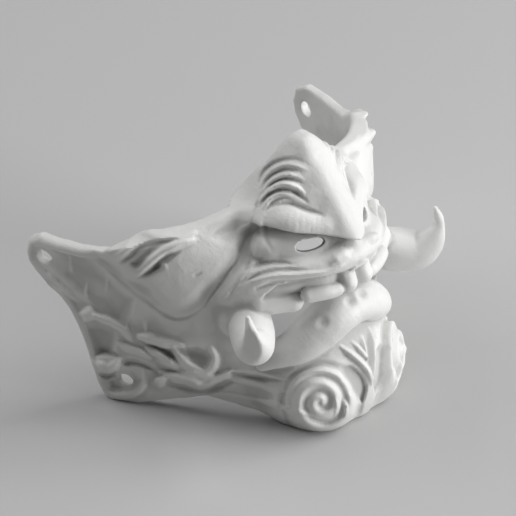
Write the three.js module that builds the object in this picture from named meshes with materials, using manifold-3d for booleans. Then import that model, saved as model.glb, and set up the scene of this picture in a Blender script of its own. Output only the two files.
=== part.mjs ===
// A samurai's half mask: the lower half of a snarling demon face, printed in one piece.
//
// The face looks along -Y and stands on its chin and on the two rear corners of its jaw,
// so +Z is up and the floor is z = 0. The mask is the same on both sides of x = 0.
// The form is a distance field: a lofted wall, the nose, lips, teeth and tusks are joined
// softly, and a relief of flames, wrinkles, strands and curls, laid out in degrees round the
// wall and millimetres of height, is added to the outside. Marching tetrahedra turn the field
// into a closed mesh, which is thinned to the facets that the shape needs.

import * as THREE from "three";
import { mergeVertices } from "three/addons/utils/BufferGeometryUtils.js";
import Module from "manifold-3d";

// Driving dimensions, in millimetres
const WALL = 4.0;
const CROWN_HEIGHT = 121.3;
const STRAP_HOLES = [
  { name: "upper", y: 48.7, z: 64.3, radius: 3.2 },
  { name: "lower", y: 17.8, z: 10.6, radius: 2.9 },
];
const STRAP_HOLE_SIDES = 20;
const SHIFT_TO_CENTRE_Y = 3.5;
const GRID_STEP = 1.8;
const TRIANGLE_BUDGET = 9200;
const COLOUR = 0xd9d9d6;

// The box that the field is worked out in, from the middle plane outward
const FIELD = { width: 86, front: -74, back: 64, bottom: -6, top: 128 };

// The wall is lofted round an upright axis that stands behind the face
const AXIS_Y = 30;
const LOFT_ANGLES = [0, 30, 45, 60, 75, 90, 110, 130, 180];
const LOFT = [
  { z: 0, radii: [78, 67, 61, 60, 63, 67.5, 72, 74, 74] },
  { z: 20, radii: [80, 69, 63, 62, 65, 69.5, 74, 76, 76] },
  { z: 40, radii: [80, 70, 65, 64, 66.5, 72, 78, 80, 80] },
  { z: 60, radii: [77, 68, 65, 65.5, 68.5, 73, 83, 88, 88] },
  { z: 78, radii: [68, 60, 61, 64.5, 68.5, 74, 82.5, 87.5, 88] },
  { z: 92, radii: [56, 49, 56, 62, 68, 74, 81.5, 86, 86] },
  { z: 120, radii: [50, 46, 53, 60, 67, 73, 80, 84, 84] },
];

// The side view, (y, z), inside which the wall is kept
const SIDE_OUTLINE = [
  [-17.5, 134], [-17.5, 121], [-14, 113], [-9, 104.5], [-2, 96], [6, 92], [9.5, 89.4], [13, 84],
  [20, 78], [31, 76], [41, 75.2], [50, 74.6], [55.5, 71], [57.3, 64.5], [56, 59], [52, 55.3],
  [46.4, 50.1], [41, 47.2], [37, 42], [34.5, 36], [32.2, 28], [30.4, 18], [28.3, 8], [26.3, 2],
  [23, -1.5], [17, -1.5], [8, 1.9], [-1, 4.8], [-12, 8.4], [-22, 6.2], [-32, 2.6], [-39, -1.5],
  [-80, -1.5], [-80, 134],
];

// The upper edge as the front view shows it, (x, z)
const CROWN = [
  [0, CROWN_HEIGHT], [3.5, 119.6], [8, 113.8], [16, 104.5], [23, 97], [29, 94.8], [36, 93.6],
  [44, 91.6], [52, 90], [59, 89], [65, 85.5], [90, 80],
];
const CROWN_LEAN = 0.75;

// The nose: a sharp bridge, (y, z), with flat sides, and a wing on each side
const BRIDGE = [[-17, 121.5], [-30, 115], [-38.5, 106], [-47, 97.5], [-55.5, 86]];
const BRIDGE_HALF_WIDTH = 3;
const BRIDGE_LEAN = THREE.MathUtils.degToRad(52);
const NOSE_PLAN = { y: -14, halfWidth: 25, halfDepth: 52 };
const NOSE_UNDERSIDE = { y: -54, z: 85, slope: 0.12 };
const NOSE_BASE = { path: [[0, -43.5, 80], [12, -39, 80], [24, -28, 80]], radii: [5.6, 5.6, 5] };
const NOSE_WING = { path: [[20.5, -24, 90], [16, -34, 91], [8, -42, 90.5]], radii: [7.6, 6.6, 4] };
const NOSTRIL = { x: 13, y: -39.3, z: 81.9, halfWidth: 5.9, halfHeight: 2.5, inward: 26, outward: 8 };
const NOSTRIL_AXIS = new THREE.Vector3(-0.5, 0.66, -0.56).normalize();
const NOSTRIL_WIDE = new THREE.Vector3(-0.787, -0.582, 0.205);

// The mouth: swollen muzzle, lips, upper teeth, tusks and the gap between the lips, (x, z)
const MUZZLE = { centre: [0, -17, 62], radii: [47, 36, 20] };
const UPPER_LIP = {
  path: [[0, -51.5, 76.5], [11, -49, 76], [23, -41, 75], [34, -31, 72], [41, -23.5, 64]],
  radii: [4.5, 4.5, 4.5, 4.5, 4],
};
const LOWER_LIP = {
  path: [
    [0, -52.5, 52], [8, -51.7, 51], [16, -49, 46.5], [24, -45, 41], [30, -41, 38], [36, -36, 33.5],
  ],
  radii: [9, 9.2, 9.3, 7.8, 5.5, 2.5],
};
const GUM = {
  path: [[0, -47, 69.5], [12, -46, 69], [22, -40, 68], [35, -31, 66]],
  radii: [3.8, 3.8, 3.8, 4],
};
const TEETH = [
  { name: "front tooth", path: [[4.3, -50, 70], [4.3, -52.5, 65.5]], radii: [4.2, 3.9] },
  {
    name: "side teeth",
    path: [[9.5, -51, 64.2], [15, -49.5, 64.6], [20.8, -46.3, 64.6]],
    radii: [3.3, 3.4, 3.2],
  },
  { name: "back tooth", path: [[26, -42.3, 62.5], [36, -34.5, 62.4]], radii: [4.8, 5.6] },
];
const TUSK = {
  path: [
    [36, -28, 52.5], [42.3, -36.2, 50.5], [47, -42, 50.6], [51, -46.4, 55.7], [54.2, -47.8, 62.3],
    [53.9, -45.2, 69.6],
  ],
  radii: [8, 8.4, 7.3, 5.6, 3, 0.9],
};
const TUSK_SOCKET = { centre: [38, -24.5, 51], radii: [9.5, 9, 10] };
const MOUTH_GAP = [
  [-5, 48], [-5, 71], [12, 71], [22, 70.5], [30, 69.5], [36, 64], [38, 54], [37, 44], [35, 38], [30, 38],
  [20, 44], [10, 48],
];
const MOUTH_GAP_BACK = -8;
const CHIN = { centre: [0, -38, 17.5], radii: [34, 24.5, 27] };

// The relief is laid out as (degrees round the wall from the middle, height), mirrored.
// A scale gives the millimetres to a degree, at the cheek and at the chin.
const SIDE_SCALE = 1.22;
const CHIN_SCALE = 1.42;
const CHEEK_LOBE = {
  outline: [
    [94, 79], [84, 68], [74, 60.5], [67, 54], [60, 50], [54, 50.5], [49, 57], [41, 69], [34, 77.5],
    [29, 86], [30, 98], [40, 115], [60, 125], [96, 110],
  ],
  rise: 5.8,
  edge: 7,
};
const LOBE_FADE = { height: 78, overHeight: 16, angle: 54, overAngle: 20, share: 0.85 };
const JAW_HOOK = {
  outline: [
    [64, 39], [59, 34], [56, 27], [51, 22], [47, 20.5], [43.5, 24], [43.5, 31], [47, 36], [55, 40],
  ],
  rise: 2.8,
  edge: 4,
};
const JAW_HOLLOW = {
  outline: [[92, 36], [87, 40.5], [82, 38], [79, 33], [80, 27], [85, 22], [90, 22], [92, 30]],
  rise: -2.2,
  edge: 3,
};
const CHEEK_STROKES = [
  { name: "crest", width: 4.2, rise: 2.6, path: [[86, 77], [77, 85], [70, 91], [60, 94], [46, 96]] },
  { name: "flame 1", width: 3.4, rise: 4.4, path: [[79, 72.5], [74, 79.5], [67, 85], [59, 87], [51, 89.5]] },
  { name: "flame 2", width: 3.2, rise: 4.2, path: [[71, 69], [63.5, 77.5], [56, 83.5], [49, 87.5]] },
  { name: "flame 3", width: 2.8, rise: 3, path: [[63, 72.5], [58.5, 77], [52, 81.5], [46, 85]] },
  {
    name: "cut under the crest",
    width: 2.2,
    rise: -3.6,
    path: [[83, 76], [76, 83], [67, 88.5], [57, 90.5], [48, 92]],
  },
  { name: "cut under flame 1", width: 2.8, rise: -4.8, path: [[77, 69], [70, 77], [62, 82.3], [54, 86]] },
  { name: "cut under flame 2", width: 2.2, rise: -3.6, path: [[68.5, 67.5], [62, 74.3], [55, 80], [48, 84]] },
  {
    name: "smile cut",
    width: 2.2,
    rise: -1.6,
    path: [[50, 51], [46, 56.5], [39, 67.5], [31.5, 77], [26.5, 86], [25, 92]],
  },
  {
    name: "cut under the lobe",
    width: 2.6,
    rise: -2.4,
    path: [[90, 72], [82, 63.5], [74, 56.5], [66, 50], [58, 46], [51, 48]],
  },
  { name: "lip fold", width: 2.2, rise: -2, path: [[40, 62], [36, 66.5], [29, 72], [18, 77.5], [9, 79]] },
  { name: "upper cheek fold", width: 2.4, rise: -1.4, path: [[36, 72], [30, 76], [22, 80.5]] },
  { name: "lower cheek fold", width: 2.2, rise: -1.2, path: [[46, 58], [40, 66], [33, 73]] },
];

// The wrinkles beside the nose follow each other down, one cut and one fold at a time
const WRINKLES = {
  path: [[23.5, 101], [20, 106], [15, 109.3], [9.5, 110.6], [5.5, 108.6]],
  count: 4,
  drop: 2.9,
  inset: 0.9,
  bend: 2,
  cut: { width: 1.6, rise: -2 },
  fold: { width: 1.5, rise: 1.1 },
};

const JAW_STROKES = [
  {
    name: "hook rim",
    width: 2.4,
    rise: 2.2,
    path: [[60, 36], [56.5, 28], [50, 21.8], [45.5, 22], [44, 28], [46.5, 34]],
  },
  { name: "strand 1", width: 3, rise: 3, path: [[80, 37], [70, 34.5], [62, 29], [56.5, 23.5]] },
  { name: "cut 1", width: 2.2, rise: -1.8, path: [[77, 32.5], [68, 29.5], [60, 24]] },
  { name: "strand 2", width: 3, rise: 3.2, path: [[76, 29], [66, 24.5], [56, 19], [48, 17], [39, 22.5]] },
  { name: "strand 3", width: 2.6, rise: 2.6, path: [[74, 21], [67, 18.5], [60, 14.5]] },
  { name: "cut 3", width: 2.2, rise: -1.8, path: [[70, 15], [62, 11.5], [52, 12.5], [42, 15.5], [30, 15]] },
  { name: "strand 4", width: 2.6, rise: 2, path: [[62, 9], [50, 8.5], [40, 11.5], [28, 9.5], [20, 3]] },
  { name: "strand 5", width: 2.4, rise: 1.6, path: [[44, 24], [36, 26], [29, 25], [25, 20]] },
  { name: "strand 6", width: 2.6, rise: 1.6, path: [[52, 42], [44, 38], [36, 33], [28, 30]] },
  { name: "cut 6", width: 2, rise: -1.4, path: [[50, 36], [42, 32.5], [34, 29]] },
  {
    name: "ridge over the hole",
    width: 2.8,
    rise: 2.6,
    path: [[92, 19], [87, 15.5], [82, 20.5], [77, 25.5]],
  },
  { name: "bump", width: 4, rise: 2, path: [[92, 40], [88, 44.5], [84, 46.5]] },
  { name: "upper ripple", width: 3, rise: 0.8, path: [[96, 66], [88, 62], [80, 55], [72, 46]] },
  { name: "lower ripple", width: 3, rise: 0.9, path: [[100, 56], [92, 52], [84, 49], [76, 42]] },
];
const BEARD_STROKES = [
  { name: "crescent", width: 2.4, rise: -3.2, path: [[9.5, 34], [6, 29.5], [3.8, 21], [5, 11]] },
  { name: "outer strand", width: 2.6, rise: 1.6, path: [[17, 43], [12, 38.5], [8.5, 34]] },
  { name: "middle strand", width: 2.4, rise: 2.6, path: [[10, 41.5], [5.5, 35], [2.2, 26], [1.2, 12]] },
  { name: "cut", width: 1.8, rise: -1.6, path: [[6, 42], [2, 34], [0, 24]] },
  { name: "inner strand", width: 2, rise: 1.2, path: [[5, 44], [0.8, 36], [0, 24]] },
];
const CHIN_CURL = { angle: 16.2, z: 18, radius: 14, edge: 2, pitch: 5, turned: 0.1, disc: 0.8, rise: 2.4 };
const CURL_MOAT = { depth: 1.2, width: 2.2 };
const FLAP_RIM = { from: 80, fade: 10, inset: 2.5, width: 3, rise: 1.4 };

// A stroke thins towards its ends and is blunted for these facets, and a cut fades beside a rim
const STROKE_END = { fullness: 0.25, share: 0.35, narrowest: 0.6 };
const STROKE_BLUNTING = 0.9;
const CUT_FADE = { from: -1, over: 7, least: 0.15 };
const RELIEF_STEP = 0.5;
const RELIEF_DEPTH = 14;

// Soft joins between the parts of the form
const JOIN = { muzzle: 6, chin: 6, nose: 3, lip: 2.5, tooth: 0.8, socket: 2, tusk: 1.2, edge: 1.5, cut: 1 };
const NOSE_JOIN = { bridge: 1.5, underside: 1.2, plan: 3, base: 3, wing: 2 };

// Smooth minimum and maximum of two distances
function join(a, b, softness) {
  const h = THREE.MathUtils.clamp(0.5 + (0.5 * (b - a)) / softness, 0, 1);
  return b * (1 - h) + a * h - softness * h * (1 - h);
}

function keep(a, b, softness) {
  return -join(-a, -b, softness);
}

// A smooth curve through flat or spatial points
function curvePoints(points, stepsPerSpan) {
  const vectors = points.map(([a, b, c = 0]) => new THREE.Vector3(a, b, c));
  if (vectors.length === 2) {
    return vectors;
  }
  const curve = new THREE.CatmullRomCurve3(vectors, false, "catmullrom", 0.5);
  return curve.getPoints(stepsPerSpan * (vectors.length - 1));
}

// The value at x of a smooth curve through (knots, values), flat beyond its ends
function smoothValue(knots, values, x) {
  const last = knots.length - 1;
  const at = THREE.MathUtils.clamp(x, knots[0], knots[last]);
  let i = 0;
  while (i < last - 1 && at >= knots[i + 1]) {
    i += 1;
  }
  const slope = (k) => (values[k + 1] - values[k]) / (knots[k + 1] - knots[k]);
  const tangent = (k) => {
    if (k === 0) {
      return slope(0);
    }
    return k === last ? slope(last - 1) : 0.5 * (slope(k - 1) + slope(k));
  };
  const span = knots[i + 1] - knots[i];
  const t = (at - knots[i]) / span;
  const rise = t * t * (3 - 2 * t);
  return (
    values[i] * (1 - rise) +
    values[i + 1] * rise +
    span * (tangent(i) * t * (1 - t) * (1 - t) - tangent(i + 1) * t * t * (1 - t))
  );
}

// A table over height and angle, read back between its entries
class AngleTable {
  constructor(step, angleStep, valueAt) {
    this.step = step;
    this.angleStep = angleStep;
    this.rows = Math.round((FIELD.top - FIELD.bottom) / step) + 1;
    this.columns = Math.round(180 / angleStep) + 1;
    this.values = new Float64Array(this.rows * this.columns);
    for (let row = 0; row < this.rows; row += 1) {
      for (let column = 0; column < this.columns; column += 1) {
        const z = FIELD.bottom + row * step;
        this.values[row * this.columns + column] = valueAt(column * angleStep, z);
      }
    }
  }

  read(angle, z) {
    const row = THREE.MathUtils.clamp((z - FIELD.bottom) / this.step, 0, this.rows - 1.001);
    const column = THREE.MathUtils.clamp(angle / this.angleStep, 0, this.columns - 1.001);
    const i = Math.floor(row);
    const j = Math.floor(column);
    const near = i * this.columns + j;
    const far = near + this.columns;
    const v = this.values;
    const low = THREE.MathUtils.lerp(v[near], v[near + 1], column - j);
    const high = THREE.MathUtils.lerp(v[far], v[far + 1], column - j);
    return THREE.MathUtils.lerp(low, high, row - i);
  }
}

const angleOf = (x, y) => THREE.MathUtils.radToDeg(Math.atan2(x, AXIS_Y - y));

function loftRadius(angle, z) {
  const heights = LOFT.map((level) => level.z);
  const atHeight = LOFT_ANGLES.map((_, i) => smoothValue(heights, LOFT.map((level) => level.radii[i]), z));
  const mirroredAngles = [-LOFT_ANGLES[1], ...LOFT_ANGLES];
  return smoothValue(mirroredAngles, [atHeight[1], ...atHeight], angle);
}
const wallRadius = new AngleTable(1, 1, loftRadius);

// Distance to the lofted wall, to an ellipsoid, to a tapered tube and to a flat outline
const wallDistance = (x, y, z) => Math.hypot(x, y - AXIS_Y) - wallRadius.read(angleOf(x, y), z);

function ellipsoidDistance(x, y, z, { centre, radii }) {
  const offset = [x - centre[0], y - centre[1], z - centre[2]];
  const size = Math.hypot(...offset.map((value, i) => value / radii[i]));
  const steepness = Math.hypot(...offset.map((value, i) => value / radii[i] ** 2));
  return (size * (size - 1)) / Math.max(steepness, 1e-6);
}

function makeTube({ path, radii }, stepsPerSpan = 3) {
  const centres = curvePoints(path, stepsPerSpan);
  const sizes = curvePoints(radii.map((radius, i) => [i, radius]), stepsPerSpan).map((point) => point.y);
  const box = new THREE.Box3().setFromPoints(centres);
  return { centres, sizes, box, reach: Math.max(...radii) + 8 };
}

function tubeDistance(x, y, z, tube) {
  const point = new THREE.Vector3(x, y, z);
  const toBox = tube.box.distanceToPoint(point);
  if (toBox > tube.reach) {
    return toBox;
  }
  let best = Infinity;
  for (let i = 0; i + 1 < tube.centres.length; i += 1) {
    const a = tube.centres[i];
    const b = tube.centres[i + 1];
    const lengthSquared = Math.max(a.distanceToSquared(b), 1e-9);
    const along = (x - a.x) * (b.x - a.x) + (y - a.y) * (b.y - a.y) + (z - a.z) * (b.z - a.z);
    const t = THREE.MathUtils.clamp(along / lengthSquared, 0, 1);
    const dx = x - a.x - t * (b.x - a.x);
    const dy = y - a.y - t * (b.y - a.y);
    const dz = z - a.z - t * (b.z - a.z);
    const radius = THREE.MathUtils.lerp(tube.sizes[i], tube.sizes[i + 1], t);
    best = Math.min(best, Math.sqrt(dx * dx + dy * dy + dz * dz) - radius);
  }
  return best;
}

function outlineDistance(x, y, points) {
  let best = Infinity;
  let inside = false;
  points.forEach(([ax, ay], i) => {
    const [bx, by] = points[(i + 1) % points.length];
    const ex = bx - ax;
    const ey = by - ay;
    const along = ((x - ax) * ex + (y - ay) * ey) / Math.max(ex * ex + ey * ey, 1e-9);
    const t = THREE.MathUtils.clamp(along, 0, 1);
    best = Math.min(best, Math.hypot(x - ax - t * ex, y - ay - t * ey));
    if (ay > y !== by > y && x < ax + (ex * (y - ay)) / ey) {
      inside = !inside;
    }
  });
  return inside ? -best : best;
}

// The nose: the space under the bridge's profile, leaning away on both sides
function noseDistance(x, y, z) {
  let wedge = -Infinity;
  for (let i = 0; i + 1 < BRIDGE.length; i += 1) {
    const [y0, z0] = BRIDGE[i];
    const [y1, z1] = BRIDGE[i + 1];
    const length = Math.hypot(y1 - y0, z1 - z0);
    const front = ((y - y0) * (z1 - z0) - (z - z0) * (y1 - y0)) / length;
    const side = (x - BRIDGE_HALF_WIDTH) * Math.cos(BRIDGE_LEAN) + front * Math.sin(BRIDGE_LEAN);
    wedge = Math.max(wedge, keep(front, side, NOSE_JOIN.bridge));
  }
  const { slope } = NOSE_UNDERSIDE;
  const drop = NOSE_UNDERSIDE.z - z - slope * (y - NOSE_UNDERSIDE.y);
  wedge = keep(wedge, drop / Math.hypot(1, slope), NOSE_JOIN.underside);
  const plan = { centre: [0, NOSE_PLAN.y, z], radii: [NOSE_PLAN.halfWidth, NOSE_PLAN.halfDepth, 1] };
  wedge = keep(wedge, ellipsoidDistance(x, y, z, plan), NOSE_JOIN.plan);
  wedge = join(wedge, tubeDistance(x, y, z, noseBase), NOSE_JOIN.base);
  return join(wedge, tubeDistance(x, y, z, noseWing), NOSE_JOIN.wing);
}

function mainForm(x, y, z) {
  let distance = wallDistance(x, y, z);
  distance = join(distance, ellipsoidDistance(x, y, z, MUZZLE), JOIN.muzzle);
  distance = join(distance, ellipsoidDistance(x, y, z, CHIN), JOIN.chin);
  distance = join(distance, noseDistance(x, y, z), JOIN.nose);
  return join(distance, tubeDistance(x, y, z, upperLip), JOIN.lip);
}

const noseBase = makeTube(NOSE_BASE);
const noseWing = makeTube(NOSE_WING);
const upperLip = makeTube(UPPER_LIP);
const lowerLip = makeTube(LOWER_LIP);
const gum = makeTube(GUM);
const teeth = TEETH.map((tooth) => makeTube(tooth));
const tusk = makeTube(TUSK);
const crown = curvePoints(CROWN, 6);

function crownHeight(x) {
  const i = Math.max(1, crown.findIndex((point) => point.x >= x));
  const t = (x - crown[i - 1].x) / (crown[i].x - crown[i - 1].x);
  return THREE.MathUtils.lerp(crown[i - 1].y, crown[i].y, t);
}

// The relief
function bump(distance, width) {
  const t = THREE.MathUtils.clamp(1 - (distance / width) ** 2, 0, 1);
  return t * t;
}

function makeStroke({ path, width, rise }, scale) {
  const points = curvePoints(path.map(([angle, z]) => [angle * scale, z]), 5);
  const lengths = [0];
  for (let i = 1; i < points.length; i += 1) {
    lengths.push(lengths[i - 1] + points[i].distanceTo(points[i - 1]));
  }
  const total = lengths[lengths.length - 1];
  const reach = width + STROKE_BLUNTING;
  const box = new THREE.Box3().setFromPoints(points).expandByScalar(reach);
  return { points, along: lengths.map((length) => length / total), box, width: reach, rise, scale };
}

// A stroke is fullest in its middle and thins towards both ends
function strokeRise(angle, z, stroke) {
  const x = angle * stroke.scale;
  const { points, along, box } = stroke;
  if (x < box.min.x || x > box.max.x || z < box.min.y || z > box.max.y) {
    return 0;
  }
  let nearest = Infinity;
  let position = 0;
  for (let i = 0; i + 1 < points.length; i += 1) {
    const a = points[i];
    const ex = points[i + 1].x - a.x;
    const ey = points[i + 1].y - a.y;
    const t = THREE.MathUtils.clamp(((x - a.x) * ex + (z - a.y) * ey) / (ex * ex + ey * ey), 0, 1);
    const distance = Math.hypot(x - a.x - t * ex, z - a.y - t * ey);
    if (distance < nearest) {
      nearest = distance;
      position = THREE.MathUtils.lerp(along[i], along[i + 1], t);
    }
  }
  const fromEnd = Math.min(position, 1 - position) / STROKE_END.share;
  const fullness = Math.min(1, STROKE_END.fullness + fromEnd);
  const width = stroke.width * THREE.MathUtils.lerp(STROKE_END.narrowest, 1, fullness);
  return stroke.rise * fullness * bump(nearest, width);
}

// A raised or sunk patch with a rounded edge
function makePatch({ outline, rise, edge }, scale) {
  const closed = [...outline, outline[0]].map(([angle, z]) => [angle * scale, z]);
  const points = curvePoints(closed, 4).map((point) => [point.x, point.y]);
  return { points: points.slice(0, -1), rise, edge, scale };
}

function patchRise(angle, z, patch) {
  const inside = -outlineDistance(angle * patch.scale, z, patch.points);
  const t = THREE.MathUtils.clamp(inside / patch.edge, 0, 1);
  return patch.rise * Math.sqrt(1 - (1 - t) ** 2);
}

// The wrinkles, worked out from the uppermost one: each is lower and starts further out
function makeWrinkles() {
  const wrinkles = [];
  for (let i = 0; i < WRINKLES.count; i += 1) {
    const lowered = (places) =>
      WRINKLES.path.map(([angle, z], k) => [
        angle + (k > WRINKLES.bend ? i * WRINKLES.inset : 0),
        z - places * WRINKLES.drop,
      ]);
    wrinkles.push(makeStroke({ path: lowered(i), ...WRINKLES.cut }, SIDE_SCALE));
    wrinkles.push(makeStroke({ path: lowered(i + 0.5), ...WRINKLES.fold }, SIDE_SCALE));
  }
  return wrinkles;
}

function curlRise(angle, z) {
  const x = (angle - CHIN_CURL.angle) * CHIN_SCALE;
  const y = z - CHIN_CURL.z;
  const distance = Math.hypot(x, y);
  const turn = distance / CHIN_CURL.pitch - Math.atan2(y, x) / (2 * Math.PI) - CHIN_CURL.turned;
  const ridge = 0.5 + 0.5 * Math.cos(2 * Math.PI * turn);
  const disc = Math.sqrt(THREE.MathUtils.clamp((CHIN_CURL.radius - distance) / CHIN_CURL.edge, 0, 1));
  const moat = CURL_MOAT.depth * bump(distance - CHIN_CURL.radius - CURL_MOAT.depth, CURL_MOAT.width);
  return disc * (CHIN_CURL.disc + CHIN_CURL.rise * ridge) - moat;
}

const strokes = [
  ...[...CHEEK_STROKES, ...JAW_STROKES].map((stroke) => makeStroke(stroke, SIDE_SCALE)),
  ...BEARD_STROKES.map((stroke) => makeStroke(stroke, CHIN_SCALE)),
  ...makeWrinkles(),
];
const lobe = makePatch(CHEEK_LOBE, SIDE_SCALE);
const patches = [makePatch(JAW_HOOK, SIDE_SCALE), makePatch(JAW_HOLLOW, SIDE_SCALE)];

function reliefRise(angle, z) {
  const high = THREE.MathUtils.clamp((z - LOBE_FADE.height) / LOBE_FADE.overHeight, 0, 1);
  const inward = THREE.MathUtils.clamp((LOBE_FADE.angle - angle) / LOBE_FADE.overAngle, 0, 1);
  let rise = patchRise(angle, z, lobe) * (1 - LOBE_FADE.share * high * inward) + curlRise(angle, z);
  for (const stroke of strokes) {
    rise += strokeRise(angle, z, stroke);
  }
  for (const patch of patches) {
    rise += patchRise(angle, z, patch);
  }
  return rise;
}
const relief = new AngleTable(RELIEF_STEP, RELIEF_STEP, reliefRise);

// The nostril: a flattened tunnel that runs in, back and down from beside the nose
const nostrilTall = new THREE.Vector3().crossVectors(NOSTRIL_AXIS, NOSTRIL_WIDE).normalize();
function nostrilDistance(x, y, z) {
  const offset = new THREE.Vector3(x - NOSTRIL.x, y - NOSTRIL.y, z - NOSTRIL.z);
  const along = offset.dot(NOSTRIL_AXIS);
  const wide = offset.dot(NOSTRIL_WIDE) / NOSTRIL.halfWidth;
  const tall = offset.dot(nostrilTall) / NOSTRIL.halfHeight;
  const tunnel = (Math.hypot(wide, tall) - 1) * NOSTRIL.halfHeight;
  return Math.max(tunnel, -along - NOSTRIL.outward, along - NOSTRIL.inward);
}

// The hollow behind the face stops under a sloping ceiling inside the top of the nose
const CEILING = { z: 96, steepness: 2.2 };
function hollowDistance(x, y, z, form) {
  const underCeiling = CEILING.steepness * Math.max(0, CEILING.z - z);
  return Math.max(form + WALL, wallDistance(x, y, z) + WALL - underCeiling);
}

// The whole mask at one point, given the main form's distance there
function maskDistance(x, y, z, form) {
  const angle = angleOf(x, y);
  const side = outlineDistance(y, z, SIDE_OUTLINE);
  const top = (z - crownHeight(x)) * CROWN_LEAN;
  const fromRim = (Math.min(-top, -side) - CUT_FADE.from) / CUT_FADE.over;
  let rise = relief.read(angle, z) * THREE.MathUtils.clamp(1 - Math.abs(form) / RELIEF_DEPTH, 0, 1);
  rise *= rise < 0 ? THREE.MathUtils.clamp(fromRim, CUT_FADE.least, 1) : 1;
  const onFlap = THREE.MathUtils.clamp((angle - FLAP_RIM.from) / FLAP_RIM.fade, 0, 1);
  rise += FLAP_RIM.rise * onFlap * bump(-side - FLAP_RIM.inset, FLAP_RIM.width);

  let distance = keep(form - rise, -hollowDistance(x, y, z, form), JOIN.cut);
  const gap = Math.max(outlineDistance(x, z, MOUTH_GAP), y - MOUTH_GAP_BACK);
  distance = keep(distance, -gap, JOIN.cut);
  distance = join(distance, tubeDistance(x, y, z, lowerLip), JOIN.edge);
  distance = join(distance, tubeDistance(x, y, z, gum), JOIN.tooth);
  for (const tooth of teeth) {
    distance = join(distance, tubeDistance(x, y, z, tooth), JOIN.tooth);
  }
  distance = join(distance, ellipsoidDistance(x, y, z, TUSK_SOCKET), JOIN.socket);
  distance = join(distance, tubeDistance(x, y, z, tusk), JOIN.tusk);
  distance = keep(distance, side, JOIN.edge);
  distance = keep(distance, top, JOIN.tusk);
  return Math.max(distance, -nostrilDistance(x, y, z));
}

// The field on a grid of one half of the mask; the other half mirrors it. The main form's
// distance is divided by its own steepness, within limits, to make it true near the wall.
const STEEPNESS = { least: 0.4, most: 2.5 };
const NEVER_ZERO = 1e-3;
function sampleField() {
  const counts = [
    Math.ceil(FIELD.width / GRID_STEP) + 1,
    Math.ceil((FIELD.back - FIELD.front) / GRID_STEP) + 1,
    Math.ceil((FIELD.top - FIELD.bottom) / GRID_STEP) + 1,
  ];
  const [nx, ny, nz] = counts;
  const place = (i, j, k) => [i * GRID_STEP, FIELD.front + j * GRID_STEP, FIELD.bottom + k * GRID_STEP];
  const index = (i, j, k) => (Math.abs(i) * ny + j) * nz + k;
  const raw = new Float64Array(nx * ny * nz);
  const values = new Float64Array(nx * ny * nz);
  const visit = (action) => {
    for (let i = 0; i < nx; i += 1) {
      for (let j = 0; j < ny; j += 1) {
        for (let k = 0; k < nz; k += 1) {
          action(i, j, k);
        }
      }
    }
  };
  visit((i, j, k) => {
    raw[index(i, j, k)] = mainForm(...place(i, j, k));
  });
  const slopeAlong = (low, high, steps) => (raw[high] - raw[low]) / (steps * GRID_STEP);
  visit((i, j, k) => {
    const i1 = Math.min(i + 1, nx - 1);
    const [j0, j1] = [Math.max(j - 1, 0), Math.min(j + 1, ny - 1)];
    const [k0, k1] = [Math.max(k - 1, 0), Math.min(k + 1, nz - 1)];
    const steepness = Math.hypot(
      slopeAlong(index(i - 1, j, k), index(i1, j, k), i1 - i + 1),
      slopeAlong(index(i, j0, k), index(i, j1, k), j1 - j0),
      slopeAlong(index(i, j, k0), index(i, j, k1), k1 - k0),
    );
    const form = raw[index(i, j, k)] / THREE.MathUtils.clamp(steepness, STEEPNESS.least, STEEPNESS.most);
    const value = maskDistance(...place(i, j, k), form);
    values[index(i, j, k)] = Math.abs(value) < NEVER_ZERO ? NEVER_ZERO : value;
  });
  return { values, counts, place, index };
}

// Marching tetrahedra: each cell is cut into six, and each of those gives one or two triangles
const CELL_TETRAHEDRA = [[0, 1, 3, 7], [0, 3, 2, 7], [0, 2, 6, 7], [0, 6, 4, 7], [0, 4, 5, 7], [0, 5, 1, 7]];

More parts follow.
